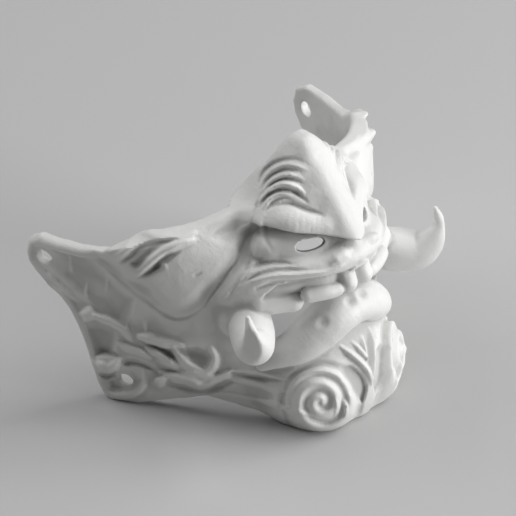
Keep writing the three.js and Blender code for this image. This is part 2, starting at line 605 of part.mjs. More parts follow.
function surfaceOf({ values, counts: [nx, ny, nz], place, index }) {
  const positions = [];
  const triangles = [];
  const known = new Map();
  const corners = CELL_TETRAHEDRA.flat().map((corner) => [corner & 1, (corner >> 1) & 1, (corner >> 2) & 1]);
  const nodeKey = ([i, j, k]) => ((i + nx) * ny + j) * nz + k;
  const valueAt = ([i, j, k]) => values[index(i, j, k)];
  const crossing = (a, b) => {
    const [low, high] = nodeKey(a) < nodeKey(b) ? [a, b] : [b, a];
    const [di, dj, dk] = high.map((value, axis) => value - low[axis]);
    const key = 8 * nodeKey(low) + 4 * dk + 2 * dj + di;
    if (!known.has(key)) {
      const t = valueAt(low) / (valueAt(low) - valueAt(high));
      const from = new THREE.Vector3(...place(...low));
      known.set(key, positions.length / 3);
      positions.push(...from.lerp(new THREE.Vector3(...place(...high)), t).toArray());
    }
    return known.get(key);
  };
  const pointOf = (vertex) => new THREE.Vector3().fromArray(positions, 3 * vertex);
  const addTriangle = (a, b, c, outward) => {
    const normal = pointOf(b).sub(pointOf(a)).cross(pointOf(c).sub(pointOf(a)));
    triangles.push(...(normal.dot(outward) > 0 ? [a, b, c] : [a, c, b]));
  };
  for (let i = 1 - nx; i < nx - 1; i += 1) {
    for (let j = 0; j < ny - 1; j += 1) {
      for (let k = 0; k < nz - 1; k += 1) {
        const cell = corners.map(([di, dj, dk]) => [i + di, j + dj, k + dk]);
        for (let t = 0; t < cell.length; t += 4) {
          const tetrahedron = cell.slice(t, t + 4);
          const inside = tetrahedron.filter((node) => valueAt(node) < 0);
          if (inside.length === 0 || inside.length === 4) {
            continue;
          }
          const outside = tetrahedron.filter((node) => valueAt(node) >= 0);
          const middle = (nodes) => {
            const sum = new THREE.Vector3();
            nodes.forEach((node) => sum.add(new THREE.Vector3(...node)));
            return sum.divideScalar(nodes.length);
          };
          const outward = middle(outside).sub(middle(inside));
          if (inside.length === 2) {
            const [a, b] = inside;
            const [c, d] = outside;
            const ring = [crossing(a, c), crossing(a, d), crossing(b, d), crossing(b, c)];
            addTriangle(ring[0], ring[1], ring[2], outward);
            addTriangle(ring[0], ring[2], ring[3], outward);
          } else {
            const [single] = inside.length === 1 ? inside : outside;
            const others = inside.length === 1 ? outside : inside;
            addTriangle(...others.map((node) => crossing(single, node)), outward);
          }
        }
      }
    }
  }
  return { positions: Float64Array.from(positions), triangles: Int32Array.from(triangles) };
}

// A heap that gives back the cheapest entry first
class CheapestFirst {
  constructor() {
    this.entries = [];
  }

  push(entry) {
    const heap = this.entries;
    let at = heap.push(entry) - 1;
    while (at > 0) {
      const parent = (at - 1) >> 1;
      if (heap[parent].cost <= entry.cost) {
        break;
      }
      heap[at] = heap[parent];
      at = parent;
    }
    heap[at] = entry;
  }

  pop() {
    const heap = this.entries;
    const first = heap[0];
    const last = heap.pop();
    let at = 0;
    while (heap.length > 0) {
      let child = 2 * at + 1;
      if (child + 1 < heap.length && heap[child + 1].cost < heap[child].cost) {
        child += 1;
      }
      if (child >= heap.length || heap[child].cost >= last.cost) {
        heap[at] = last;
        break;
      }
      heap[at] = heap[child];
      at = child;
    }
    return first;
  }
}

// Edge collapse by squared distance to the planes of the faces that have been merged.
// A merged vertex is pulled to its edge's middle, and a short edge goes before a long one.
const PULL_TO_MIDDLE = 1e-2;
const FURTHEST_PLACE = 0.9;
const COST_OF_LENGTH = 1e-4;
const THINNEST_FACE = 0.02;
const LARGEST_TURN = 0.3;
const GONE = -1e9;
const SAME_PLACE = 1e-4;
class Thinner {
  constructor({ positions, triangles }) {
    this.triangles = triangles;
    this.count = triangles.length / 3;
    this.alive = new Uint8Array(this.count).fill(1);
    this.points = [];
    for (let i = 0; i < positions.length; i += 3) {
      this.points.push(new THREE.Vector3().fromArray(positions, i));
    }
    this.faces = this.points.map(() => []);
    this.planes = this.points.map(() => new Float64Array(10));
    this.version = new Int32Array(this.points.length);
    this.queue = new CheapestFirst();
    for (let face = 0; face < this.count; face += 1) {
      this.addPlane(face);
    }
    for (let face = 0; face < this.count; face += 1) {
      const [a, b, c] = this.cornersOf(face);
      [[a, b], [b, c], [c, a]].filter(([u, v]) => u < v).forEach(([u, v]) => this.offer(u, v));
    }
  }

  cornersOf(face) {
    return this.triangles.subarray(3 * face, 3 * face + 3);
  }

  normalOf(a, b, c) {
    return new THREE.Vector3().subVectors(b, a).cross(new THREE.Vector3().subVectors(c, a));
  }

  addPlane(face) {
    const corners = this.cornersOf(face);
    const [a, b, c] = Array.from(corners, (corner) => this.points[corner]);
    const normal = this.normalOf(a, b, c);
    const area = normal.length();
    normal.normalize();
    const { x, y, z } = normal;
    const d = -normal.dot(a);
    const plane = [x * x, x * y, x * z, x * d, y * y, y * z, y * d, z * z, z * d, d * d];
    for (const corner of corners) {
      this.faces[corner].push(face);
      plane.forEach((value, i) => {
        this.planes[corner][i] += area * value;
      });
    }
  }

  // The cheapest place for the merged vertex
  placeFor(u, v) {
    const q = this.planes[u].map((value, i) => value + this.planes[v][i]);
    const middle = this.points[u].clone().lerp(this.points[v], 0.5);
    const pull = PULL_TO_MIDDLE * (q[0] + q[4] + q[7]) + Number.EPSILON;
    const matrix = new THREE.Matrix3().set(
      q[0] + pull, q[1], q[2],
      q[1], q[4] + pull, q[5],
      q[2], q[5], q[7] + pull,
    );
    const target = new THREE.Vector3(-q[3], -q[6], -q[8]).addScaledVector(middle, pull);
    const place = target.applyMatrix3(matrix.invert());
    if (!(place.distanceTo(middle) < FURTHEST_PLACE * this.points[u].distanceTo(this.points[v]))) {
      place.copy(middle);
    }
    const { x, y, z } = place;
    const error =
      q[0] * x * x + q[4] * y * y + q[7] * z * z + q[9] +
      2 * (q[1] * x * y + q[2] * x * z + q[5] * y * z + q[3] * x + q[6] * y + q[8] * z);
    return { place, cost: error + COST_OF_LENGTH * this.points[u].distanceToSquared(this.points[v]) };
  }

  offer(u, v) {
    const { place, cost } = this.placeFor(u, v);
    this.queue.push({ u, v, place, cost, stamp: this.version[u] + this.version[v] });
  }

  neighboursOf(u) {
    const found = new Set();
    for (const face of this.faces[u]) {
      this.cornersOf(face).forEach((corner) => found.add(corner));
    }
    found.delete(u);
    return found;
  }

  // Whether moving a vertex turns one of its own faces over or makes it a sliver
  turnsFace(moved, gone, place) {
    return this.faces[moved].some((face) => {
      const corners = this.cornersOf(face);
      if (corners.includes(gone)) {
        return false;
      }
      const before = Array.from(corners, (corner) => this.points[corner]);
      const after = Array.from(corners, (corner) => (corner === moved ? place : this.points[corner]));
      const oldNormal = this.normalOf(...before);
      const newNormal = this.normalOf(...after);
      const longest = Math.max(...after.map((point, i) => point.distanceToSquared(after[(i + 1) % 3])));
      const thin = newNormal.length() < THINNEST_FACE * longest;
      return thin || oldNormal.dot(newNormal) < LARGEST_TURN * oldNormal.length() * newNormal.length();
    });
  }

  collapse(u, v, place) {
    const shared = this.faces[v].filter((face) => this.cornersOf(face).includes(u));
    for (const face of shared) {
      this.alive[face] = 0;
      for (const corner of this.cornersOf(face)) {
        this.faces[corner] = this.faces[corner].filter((other) => other !== face);
      }
    }
    this.count -= shared.length;
    for (const face of this.faces[v]) {
      const corners = this.cornersOf(face);
      corners[corners.indexOf(v)] = u;
      this.faces[u].push(face);
    }
    this.faces[v] = [];
    this.points[u].copy(place);
    this.planes[v].forEach((value, i) => {
      this.planes[u][i] += value;
    });
    this.version[u] += 1;
    this.version[v] = GONE;
    for (const other of this.neighboursOf(u)) {
      this.offer(u, other);
    }
  }

  thinTo(budget) {
    while (this.count > budget && this.queue.entries.length > 0) {
      const { u, v, place, stamp } = this.queue.pop();
      if (this.version[u] < 0 || this.version[v] < 0 || stamp !== this.version[u] + this.version[v]) {
        continue;
      }
      const around = this.neighboursOf(u);
      const common = [...this.neighboursOf(v)].filter((vertex) => around.has(vertex));
      if (common.length !== 2 || this.turnsFace(u, v, place) || this.turnsFace(v, u, place)) {
        continue;
      }
      this.collapse(u, v, place);
    }
  }

  geometry() {
    const corners = [];
    for (let face = 0; face < this.alive.length; face += 1) {
      if (this.alive[face]) {
        corners.push(...Array.from(this.cornersOf(face), (corner) => this.points[corner]));
      }
    }
    return mergeVertices(new THREE.BufferGeometry().setFromPoints(corners), SAME_PLACE);
  }
}

// Solids for cutting and joining
const wasm = await Module();
wasm.setup();

function toSolid(geometry) {
  const bare = geometry.clone();
  bare.deleteAttribute("normal");
  bare.deleteAttribute("uv");
  const merged = mergeVertices(bare, SAME_PLACE);
  const mesh = new wasm.Mesh({
    numProp: 3,
    vertProperties: new Float32Array(merged.attributes.position.array),
    triVerts: new Uint32Array(merged.index.array),
  });
  return new wasm.Manifold(mesh);
}

function toGeometry(solid) {
  const mesh = solid.getMesh();
  const geometry = new THREE.BufferGeometry();
  geometry.setAttribute("position", new THREE.BufferAttribute(new Float32Array(mesh.vertProperties), 3));
  geometry.setIndex(new THREE.BufferAttribute(new Uint32Array(mesh.triVerts), 1));
  geometry.computeVertexNormals();
  return geometry;
}

// Everything below the floor is cut away, which leaves the mask flat feet
function floorBlock() {
  const across = 2 * (FIELD.width + FIELD.back - FIELD.front);
  const depth = -2 * FIELD.bottom;
  const block = new THREE.BoxGeometry(across, across, depth);
  return toSolid(block.translate(0, 0, -depth / 2));
}

function strapBore({ y, z, radius }) {
  const bore = new THREE.CylinderGeometry(radius, radius, 3 * FIELD.width, STRAP_HOLE_SIDES);
  return toSolid(bore.rotateZ(Math.PI / 2).translate(0, y, z));
}

function maskGeometry() {
  const thinner = new Thinner(surfaceOf(sampleField()));
  thinner.thinTo(TRIANGLE_BUDGET);
  let solid = toSolid(thinner.geometry()).subtract(floorBlock());
  for (const hole of STRAP_HOLES) {
    solid = solid.subtract(strapBore(hole));
  }
  return toGeometry(solid.translate(0, SHIFT_TO_CENTRE_Y, 0));
}

const plastic = new THREE.MeshStandardMaterial({ color: COLOUR, roughness: 0.6, metalness: 0 });
const mask = new THREE.Mesh(maskGeometry(), plastic);
mask.name = "mask";

const model = new THREE.Group();
model.add(mask);
export default model;
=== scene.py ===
"""A samurai's half mask, sculpted as one shell and lit on a pale floor.

The face looks along -Y and stands on its chin and rear jaw corners. The form is a distance
field in millimetres: a lofted wall with the nose, lips, teeth and tusks joined on softly, and
a relief of flames, wrinkles, strands and curls raised on the outside. The field is meshed,
thinned to fine facets, and dressed in a matte plastic that is smoother on its edges, with
painted shade in its hollows and painted highlights on its edges.
"""

import math

import bpy
import numpy as np
import openvdb
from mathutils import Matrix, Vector


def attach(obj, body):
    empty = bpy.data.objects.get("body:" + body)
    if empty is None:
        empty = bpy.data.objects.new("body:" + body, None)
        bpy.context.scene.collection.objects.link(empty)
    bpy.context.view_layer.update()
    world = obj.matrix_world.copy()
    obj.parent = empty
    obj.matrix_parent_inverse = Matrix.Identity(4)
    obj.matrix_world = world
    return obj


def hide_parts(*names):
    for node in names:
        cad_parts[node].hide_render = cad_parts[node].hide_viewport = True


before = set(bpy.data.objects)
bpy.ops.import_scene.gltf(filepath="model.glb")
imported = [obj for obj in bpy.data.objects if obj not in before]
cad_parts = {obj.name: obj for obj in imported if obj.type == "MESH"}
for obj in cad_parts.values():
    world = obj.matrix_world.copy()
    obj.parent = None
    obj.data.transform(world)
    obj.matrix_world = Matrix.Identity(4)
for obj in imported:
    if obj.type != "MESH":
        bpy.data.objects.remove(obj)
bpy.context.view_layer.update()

bl_info = {
    "name": "Samurai Half Mask",
    "version": (1, 0, 0),
    "blender": (4, 5, 0),
    "location": "3D View > Sidebar > Mask",
    "description": "Sculpts a snarling half mask as one shell and lights it on a pale floor",
    "category": "Mesh",
}

# Lengths are in millimetres and angles in degrees until the mesh is made
MILLIMETRE = 0.001
TINY = 1e-9
SHIFT_TO_CENTRE_Y = 3.5
WALL = 4.0
CROWN_HEIGHT = 121.3
CROWN_LEAN = 0.75
STRAP_HOLES = {"upper": (48.7, 64.3, 3.2), "lower": (17.8, 10.6, 3.0)}
STRAP_HOLE_FROM_X = 40

# The box that the field is worked out in, from the middle plane outward
FIELD = {"width": 86, "front": -74, "back": 64, "bottom": -6, "top": 128}

# The wall is lofted round an upright axis that stands behind the face: its radius at each
# height, for each of the angles
AXIS_Y = 30
LOFT_STEP = 1
LOFT_ANGLES = (0, 30, 45, 60, 75, 90, 110, 130, 180)
LOFT = {
    0: (78, 67, 61, 60, 63, 67.5, 72, 74, 74),
    20: (80, 69, 63, 62, 65, 69.5, 74, 76, 76),
    40: (80, 70, 65, 64, 66.5, 72, 78, 80, 80),
    60: (77, 68, 65, 65.5, 68.5, 73, 83, 88, 88),
    78: (68, 60, 61, 64.5, 68.5, 74, 82.5, 87.5, 88),
    92: (56, 49, 56, 62, 68, 74, 81.5, 86, 86),
    120: (50, 46, 53, 60, 67, 73, 80, 84, 84),
}

# The side view, (y, z), inside which the wall is kept
SIDE_OUTLINE = (
    (-17.5, 134), (-17.5, 121), (-14, 113), (-9, 104.5), (-2, 96), (6, 92), (9.5, 89.4), (13, 84),
    (20, 78), (31, 76), (41, 75.2), (50, 74.6), (55.5, 71), (57.3, 64.5), (56, 59), (52, 55.3),
    (46.4, 50.1), (41, 47.2), (37, 42), (34.5, 36), (32.2, 28), (30.4, 18), (28.3, 8), (26.3, 2),
    (23, -1.5), (17, -1.5), (8, 1.9), (-1, 4.8), (-12, 8.4), (-22, 6.2), (-32, 2.6), (-39, -1.5),
    (-80, -1.5), (-80, 134),
)

# The upper edge as the front view shows it, (x, z)
CROWN = (
    (0, CROWN_HEIGHT), (3.5, 120.1), (8, 115.4), (16, 106), (23, 98.6), (29, 95.6), (36, 93.8),
    (44, 91.6), (52, 90), (59, 89), (65, 85.5), (90, 80),
)

# The nose: a sharp bridge, (y, z), with flat sides, a base and a wing on each side
BRIDGE = ((-17, 121.5), (-30, 115), (-38.5, 106), (-47, 97.5), (-55.5, 86))
BRIDGE_HALF_WIDTH = 3
BRIDGE_LEAN = 52
NOSE_PLAN = {"y": -14, "half_width": 25, "half_depth": 52}
NOSE_UNDERSIDE = {"y": -54, "z": 85.4, "slope": 0.03, "side_slope": 0.3}
NOSE_BASE = {"path": ((0, -43.5, 80), (12, -39, 80), (24, -28, 80)), "radii": (5.6, 5.6, 5)}
NOSE_WING = {"path": ((20.5, -24, 90), (16, -34, 91), (8, -42, 90.5)), "radii": (7.6, 6.6, 4)}
NOSTRIL = {"middle": (13, -39.3, 81.9), "half_width": 5.9, "half_height": 2.5, "inward": 26, "outward": 8}
NOSTRIL_AXIS = (-0.5, 0.66, -0.56)
NOSTRIL_WIDE = (-0.787, -0.582, 0.205)

# The mouth: swollen muzzle, lips, upper teeth, tusks with a flat face cut on their outside,
# and the gap between the lips, (x, z)
MUZZLE = {"centre": (0, -17, 61), "radii": (43, 34.5, 20)}
UPPER_LIP = {
    "path": ((0, -51.5, 76.5), (11, -49, 76), (22.4, -40.4, 74.4), (32.8, -29.8, 70.8), (39, -21.5, 62)),
    "radii": (4.5, 4.5, 4.4, 4.2, 3.6),
}
PHILTRUM = {"centre": (0, -49.5, 77), "radii": (12.5, 6, 6.5)}
LOWER_LIP = {
    "path": (
        (0, -48.2, 50.5), (6.8, -48, 49.3), (13.7, -45.5, 44.2), (21.1, -42.1, 38.1), (27.1, -38.1, 34.6),
        (34.1, -33.1, 29.6),
    ),
    "radii": (9.2, 9.2, 9.2, 7.8, 5.8, 2.5),
    "flat_way": (0, -0.5, 0.87),
    "flatness": 1.25,
}
LIP_DENTS = {"centres": ((3.7, -54.6, 58.5), (18.8, -52, 52.9)), "radius": 4}
GUM = {
    "path": ((0, -47, 69.5), (12, -46, 69), (21.4, -39.4, 67.4), (33.3, -29.3, 64.3)),
    "radii": (3.8, 3.8, 3.8, 4),
}
TEETH = (
    {"path": ((4.3, -50, 70), (4.3, -52.5, 65.5)), "radii": (4.2, 3.9)},
    {"path": ((9.5, -51, 64.2), (15, -49.5, 64.6), (20.8, -46.3, 64.6)), "radii": (3.3, 3.4, 3.2)},
    {"path": ((23.7, -40, 60.2), (33.7, -32.2, 60.1)), "radii": (4.8, 5.2)},
)
TUSK = {
    "path": (
        (34, -26, 50.5), (42.3, -36.2, 50.5), (47, -42, 50.6), (51, -46.4, 55.7), (54.2, -47.8, 62.3),
        (53.9, -45.2, 69.6),
    ),
    "radii": (8.6, 9, 8, 5.6, 3.2, 1.1),
}
TUSK_FACE = {"point": (57.3, -45.2, 69.6), "way": (0.93, -0.35, -0.12)}
TUSK_SOCKET = {"centre": (36, -22.5, 50), "radii": (9, 8.5, 9.5)}
MOUTH_GAP = (
    (-5, 48), (-5, 71), (12, 71), (22, 70.5), (30, 69.5), (36, 64), (38, 54), (37, 44), (35, 38), (30, 38),
    (20, 44), (10, 48),
)
MOUTH_GAP_BACK = -8
CHIN = {"centre": (0, -38, 14.5), "radii": (33, 24, 27)}

# The relief is laid out on the plane that faces the near quarter, as (across, up) from a point
# under the nose, and is mirrored. It is pressed straight back from there onto the outside.
QUARTER_ACROSS = (-0.7071, -0.7071, 0)
QUARTER_UP = (-0.4082, 0.4082, 0.8165)
QUARTER_SHEET = {"across": (-104, 66), "up": (-36, 112)}

# The lobe is lower towards its foot (lean, going up) and towards the mouth (thinning, across)
CHEEK_LOBE = {
    "outline": ((-71.1, 45), (-67, 40.9), (-62.2, 36.9), (-56.1, 31.2), (-50, 28.1), (-43.9, 22.4),
        (-39.4, 19.2), (-34.6, 18.4), (-30.1, 19.2), (-26, 22), (-21.6, 26.9), (-17.5, 30.4), (-13.5, 36),
        (-9.4, 41.7), (-6.2, 47.4), (-2.9, 54.7), (-0.5, 63.6), (-9.4, 67.7), (-25.6, 65.7), (-45.9, 59.6),
        (-62.2, 51.5)),
    "rise": 6.6,
    "edge": 5.5,
    "lean": {"from": 16, "to": 46, "least": 0.3},
    "thinning": {"from": -34, "to": -6, "least": 0.35},
}
LOBE_FADE = {"height": 72, "over_height": 13, "angle": 56, "over_angle": 20, "share": 0.3}

# A stroke is (width, rise, path): a ridge where it rises and a cut where it falls.
# A patch is (rise, edge, outline).
CHEEK_STROKES = {
    "crest": (2, 2.2, ((-63, 45), (-58.1, 47.4), (-53.6, 50.6), (-48.4, 52.7), (-41.9, 53.5),
        (-33.8, 54.7), (-23.6, 56.7))),
    "cut under the crest": (1.6, -3.4, ((-64.6, 42.9), (-58.9, 44.6), (-54.8, 46.6), (-51.2, 49.8),
        (-45.9, 51.1), (-37.8, 51.9), (-29.7, 51.9), (-25.6, 51.5))),
    "band": (1.4, 0.8, ((-59.7, 42.5), (-54.8, 45), (-50.8, 48.2), (-46.7, 49.8), (-35.8, 50.2),
        (-27.7, 50.6))),
    "first flame": (2.4, 4.6, ((-59.3, 40.5), (-56.5, 42.1), (-52.8, 45), (-49.2, 47.4), (-44.3, 49),
        (-37.8, 49.8), (-32.1, 49.4), (-27.3, 49.8))),
    "cut under the first flame": (2.2, -4, ((-57.3, 38.5), (-53.2, 40.9), (-49.6, 44.2), (-45.1, 45.8),
        (-39.4, 46.6), (-34.6, 47))),
    "second flame": (2.4, 4.4, ((-49.6, 34.4), (-46.3, 37.7), (-42.7, 40.5), (-38.6, 43.3), (-33.8, 46.2),
        (-28.5, 48.2))),
    "third flame": (1.9, 2.8, ((-39.4, 42.5), (-35.4, 43.8), (-31.3, 45.8), (-26.9, 47.4))),
    "cut under the second flame": (2, -3.6, ((-50, 32.4), (-45.1, 34.8), (-41.5, 38.1), (-37.8, 40.9),
        (-33.8, 42.9))),
    "twig": (0.9, 0.9, ((-41.1, 39.3), (-39.4, 37.3), (-39, 35.2))),
    "nick": (0.9, -0.9, ((-28.1, 32.8), (-24.4, 34.4))),
    "cut beside the lobe": (1.4, -0.7, ((-66.2, 38.5), (-59.3, 32.8), (-52.4, 26.7), (-45.9, 21.8),
        (-41.1, 18.2), (-35, 15.8), (-28.9, 17), (-24, 20.6))),
    "smile cut": (1, -1.2, ((-24, 20.6), (-20.4, 25.5), (-16.7, 30.4), (-13.1, 35.6), (-9.4, 40.9))),
    "lobe scratch": (1.6, -0.7, ((-20.8, 48.2), (-16.7, 50.6), (-9.4, 53.1))),
    "back edge of the nose": (1.1, -0.8, ((-11.8, 36.9), (-8.2, 45), (-4.9, 53.1), (-2.9, 60.4),
        (-0.5, 66.5))),
}
NOSE_STROKES = {
    "first wrinkle": (1.3, -2, ((-1.7, 70.1), (0.3, 74.6), (4.8, 78.2), (10.5, 79.5), (15.3, 78.6),
        (19.4, 76.6))),
    "first fold": (1.2, 1.1, ((0.3, 71.7), (3.6, 75.4), (8.8, 77.4), (14.1, 76.6), (18.6, 74.6))),
    "second wrinkle": (1.2, -1.8, ((-0.9, 68.1), (2.8, 72.6), (7.6, 75), (12.9, 75), (15.6, 73.8))),
    "second fold": (1.2, 1.2, ((-0.1, 66.9), (3.6, 71.3), (8.4, 73.4), (13.7, 72.6), (16.1, 71.3))),
    "third wrinkle": (1.2, -1.8, ((-0.5, 65.3), (3.6, 69.7), (8.4, 71.7), (13.3, 70.9), (15.6, 69.5))),
    "third fold": (1.6, 2, ((-1.3, 63.2), (2.8, 67.7), (8, 69.7), (13.7, 68.1), (16.1, 66))),
    "fourth wrinkle": (1.3, -2, ((-1.3, 60.8), (1.9, 65.3), (6.4, 67.3), (11.3, 66.9), (15.7, 64),
        (17.5, 62.2))),
    "fourth fold": (1, 1, ((-0.1, 60), (3.2, 64), (7.2, 65.7), (11.3, 64.8))),
    "fifth wrinkle": (1.1, -1.4, ((0.7, 58.8), (4, 62.4), (8, 64), (12.1, 62.8))),
    "groove over the wing": (1.6, -1.8, ((1.9, 59.6), (5.2, 61.2), (10.9, 61.6), (17.4, 59.2),
        (23.9, 57.1))),
    "back of the wing": (1.6, -0.5, ((1.9, 59.6), (0.3, 54.7), (0.7, 48.2), (3.6, 42.5))),
}
LIP_STROKES = {
    "edge of the lip": (1.4, -1.8, ((-2.9, 27.9), (4.8, 30.4), (14.1, 30.8), (25.1, 32), (32.4, 34.4),
        (38.5, 38.5))),
    "swell of the lip": (1.8, 1.4, ((-4.5, 30.8), (4.8, 32.8), (14.9, 33.2), (25.1, 34.4), (32, 37.3))),
    "middle fold": (1.5, -1.4, ((-9.4, 29.6), (-2.1, 33.2), (6.8, 35.2), (17, 35.2))),
    "upper fold": (1.4, -1.2, ((-7, 35.2), (-0.5, 37.7), (6.8, 38.1), (13.3, 37.3))),
    "fold by the smile": (1.5, -1.1, ((-15.1, 23.1), (-11, 28.7), (-7, 35.2), (-3.7, 43.3))),
    "front of the lip": (3, 2.2, ((27.5, 38.5), (30.8, 40.9), (34.4, 43.3))),
}
JAW_STROKES = {
    "shelf": (1.8, 1.8, ((-72.7, 14.5), (-67.8, 16.2), (-62.2, 14.1), (-55.7, 10.9))),
    "first strand": (2.1, 2.8, ((-58.9, 6), (-54.8, 3.6), (-50, 2), (-45.9, -0.1))),
    "second strand": (2.5, 3.5, ((-50, 8.9), (-45.9, 6.8), (-41.1, 5.2), (-36.6, 4.4))),
    "second cut": (1.7, -2.4, ((-48.8, 6.4), (-43.9, 4.4), (-39.4, 2.4), (-35.4, -0.9))),
    "third strand": (2.3, 2.8, ((-47.5, 3.6), (-42.7, 1.2), (-38.6, -1.3), (-33.8, -3.3))),
    "hook": (3.1, 4.3, ((-36.2, 4), (-34.6, 0.8), (-31.3, -2.5), (-27.3, -4.9), (-23.2, -6.1),
        (-20.4, -3.7), (-19.6, -0.1), (-21.2, 3.2))),
    "strand under the hook": (2.5, 2.5, ((-42.7, -1.3), (-35.4, -4.1), (-28.9, -7), (-23.6, -9))),
    "lower strand": (2.9, 3.6, ((-41.9, -6.1), (-35.4, -8.6), (-29.7, -10.2), (-25.2, -11.4),
        (-19.6, -9.4), (-13.9, -7.4))),
    "cut under the strands": (2.3, -2.6, ((-38.6, -11), (-31.3, -13), (-24.8, -14.3), (-18.3, -12.2),
        (-12.7, -9.8))),
    "knob": (2.6, 3.2, ((-44.3, -10.6), (-41.5, -10.2), (-39.4, -8.6))),
    "ridge over the hole": (3.1, 3.6, ((-69, -2.5), (-65.8, -4.1), (-62.6, -4.9), (-59.7, -2.9),
        (-58.5, -0.9))),
    "cut over the hole": (1.8, -2.4, ((-67.8, -7.4), (-63, -7.8), (-58.9, -5.7))),
    "ring round the hole": (1.9, 2.1, ((-49.2, -4.5), (-48.4, -9.8), (-50.8, -13.9), (-55.7, -15.9),
        (-61.3, -15.9), (-65.4, -13.4))),
    "rear rim of the flap": (1.4, 1.3, ((-90.5, 36), (-84.5, 30.8), (-80, 26.7), (-75.1, 22.3))),
    "first scratch": (0.9, 0.7, ((-78.4, 42.1), (-77.6, 38.5), (-77.2, 34.4))),
    "second scratch": (0.9, 0.7, ((-71.1, 30.4), (-71.5, 27.1), (-71.1, 23.5))),
    "third scratch": (0.9, 0.7, ((-62.6, 32), (-63.4, 26.3))),
    "fourth scratch": (0.9, 0.7, ((-55.3, 14.1), (-54.4, 8.9))),
    "fifth scratch": (0.9, 0.7, ((-48, 14.9), (-47.1, 9.7))),
    "upper chin line": (1.7, 1.4, ((-15.5, -8.6), (-5.4, -10.6), (2.8, -12.6), (10.1, -14.3))),
    "cut over the chin line": (1.6, -1.4, ((-14.3, -6.1), (-3.3, -8.2), (4.8, -9.4), (8.8, -9.8))),
    "middle chin line": (1.7, 1.3, ((-5.4, -15.9), (4.8, -19.1), (14.9, -22.4), (25.1, -24))),
    "lower chin cut": (1.6, -1.4, ((-33.8, -14.3), (-21.6, -17.5), (-9.4, -21.6), (2.8, -25.6),
        (14.9, -27.2))),
    "first streak": (1.1, 0.7, ((-19.6, -5.7), (-9.4, -5.7), (0.7, -7), (9.7, -9))),
    "second streak": (1.1, -0.7, ((-16.7, -9.8), (-5.4, -11), (4.8, -13.4), (11.7, -16.3))),
    "third streak": (1.1, 0.7, ((-25.6, -14.3), (-13.5, -15.1), (-0.5, -18.3), (11.7, -22.8))),
    "fourth streak": (1.1, -0.7, ((-33.8, -15.9), (-19.6, -17.1), (-5.4, -21.2), (10.9, -26.4))),
    "edge of the jaw corner": (2.6, 1.9, ((-69.5, 18.2), (-66.2, 15.8), (-61.3, 14.1), (-56.5, 10.9),
        (-53.2, 6))),
}
BEARD_STROKES = {
    "outer strand": (1.8, 2.9, ((31.2, 4.4), (35.2, 1.6), (39.3, -1.7), (42.9, -6.1), (44.5, -11.4))),
    "second strand": (1.6, 2.1, ((36, 6), (40.1, 2.4), (43.7, -2.1), (46.2, -7.8))),
    "cut": (1.2, -2.2, ((39.3, 5.6), (42.1, 2), (45.4, -2.5), (47.4, -7.8))),
    "third strand": (2, 2.6, ((40.9, 8.1), (44.9, 2.8), (47.8, -2.1), (49.4, -8.6))),
    "tail strand": (1.3, 1.7, ((32.4, -16.7), (33.6, -20.8), (33.2, -24.8))),
    "second tail": (1.3, 1.6, ((29.1, -16.7), (29.9, -20.3), (29.1, -24))),
    "shade beside the curl": (4.2, -2.6, ((32.4, -4.5), (36, -10.2), (38.5, -16.7))),
    "front strand": (1.8, 2, ((47.4, 14.1), (49.8, 6.8), (51.4, -1.3), (49.8, -10.2))),
    "front cut": (1.2, -0.8, ((44.9, 11.7), (47, 4.8), (48.2, -3.3), (46.2, -11.4))),
}
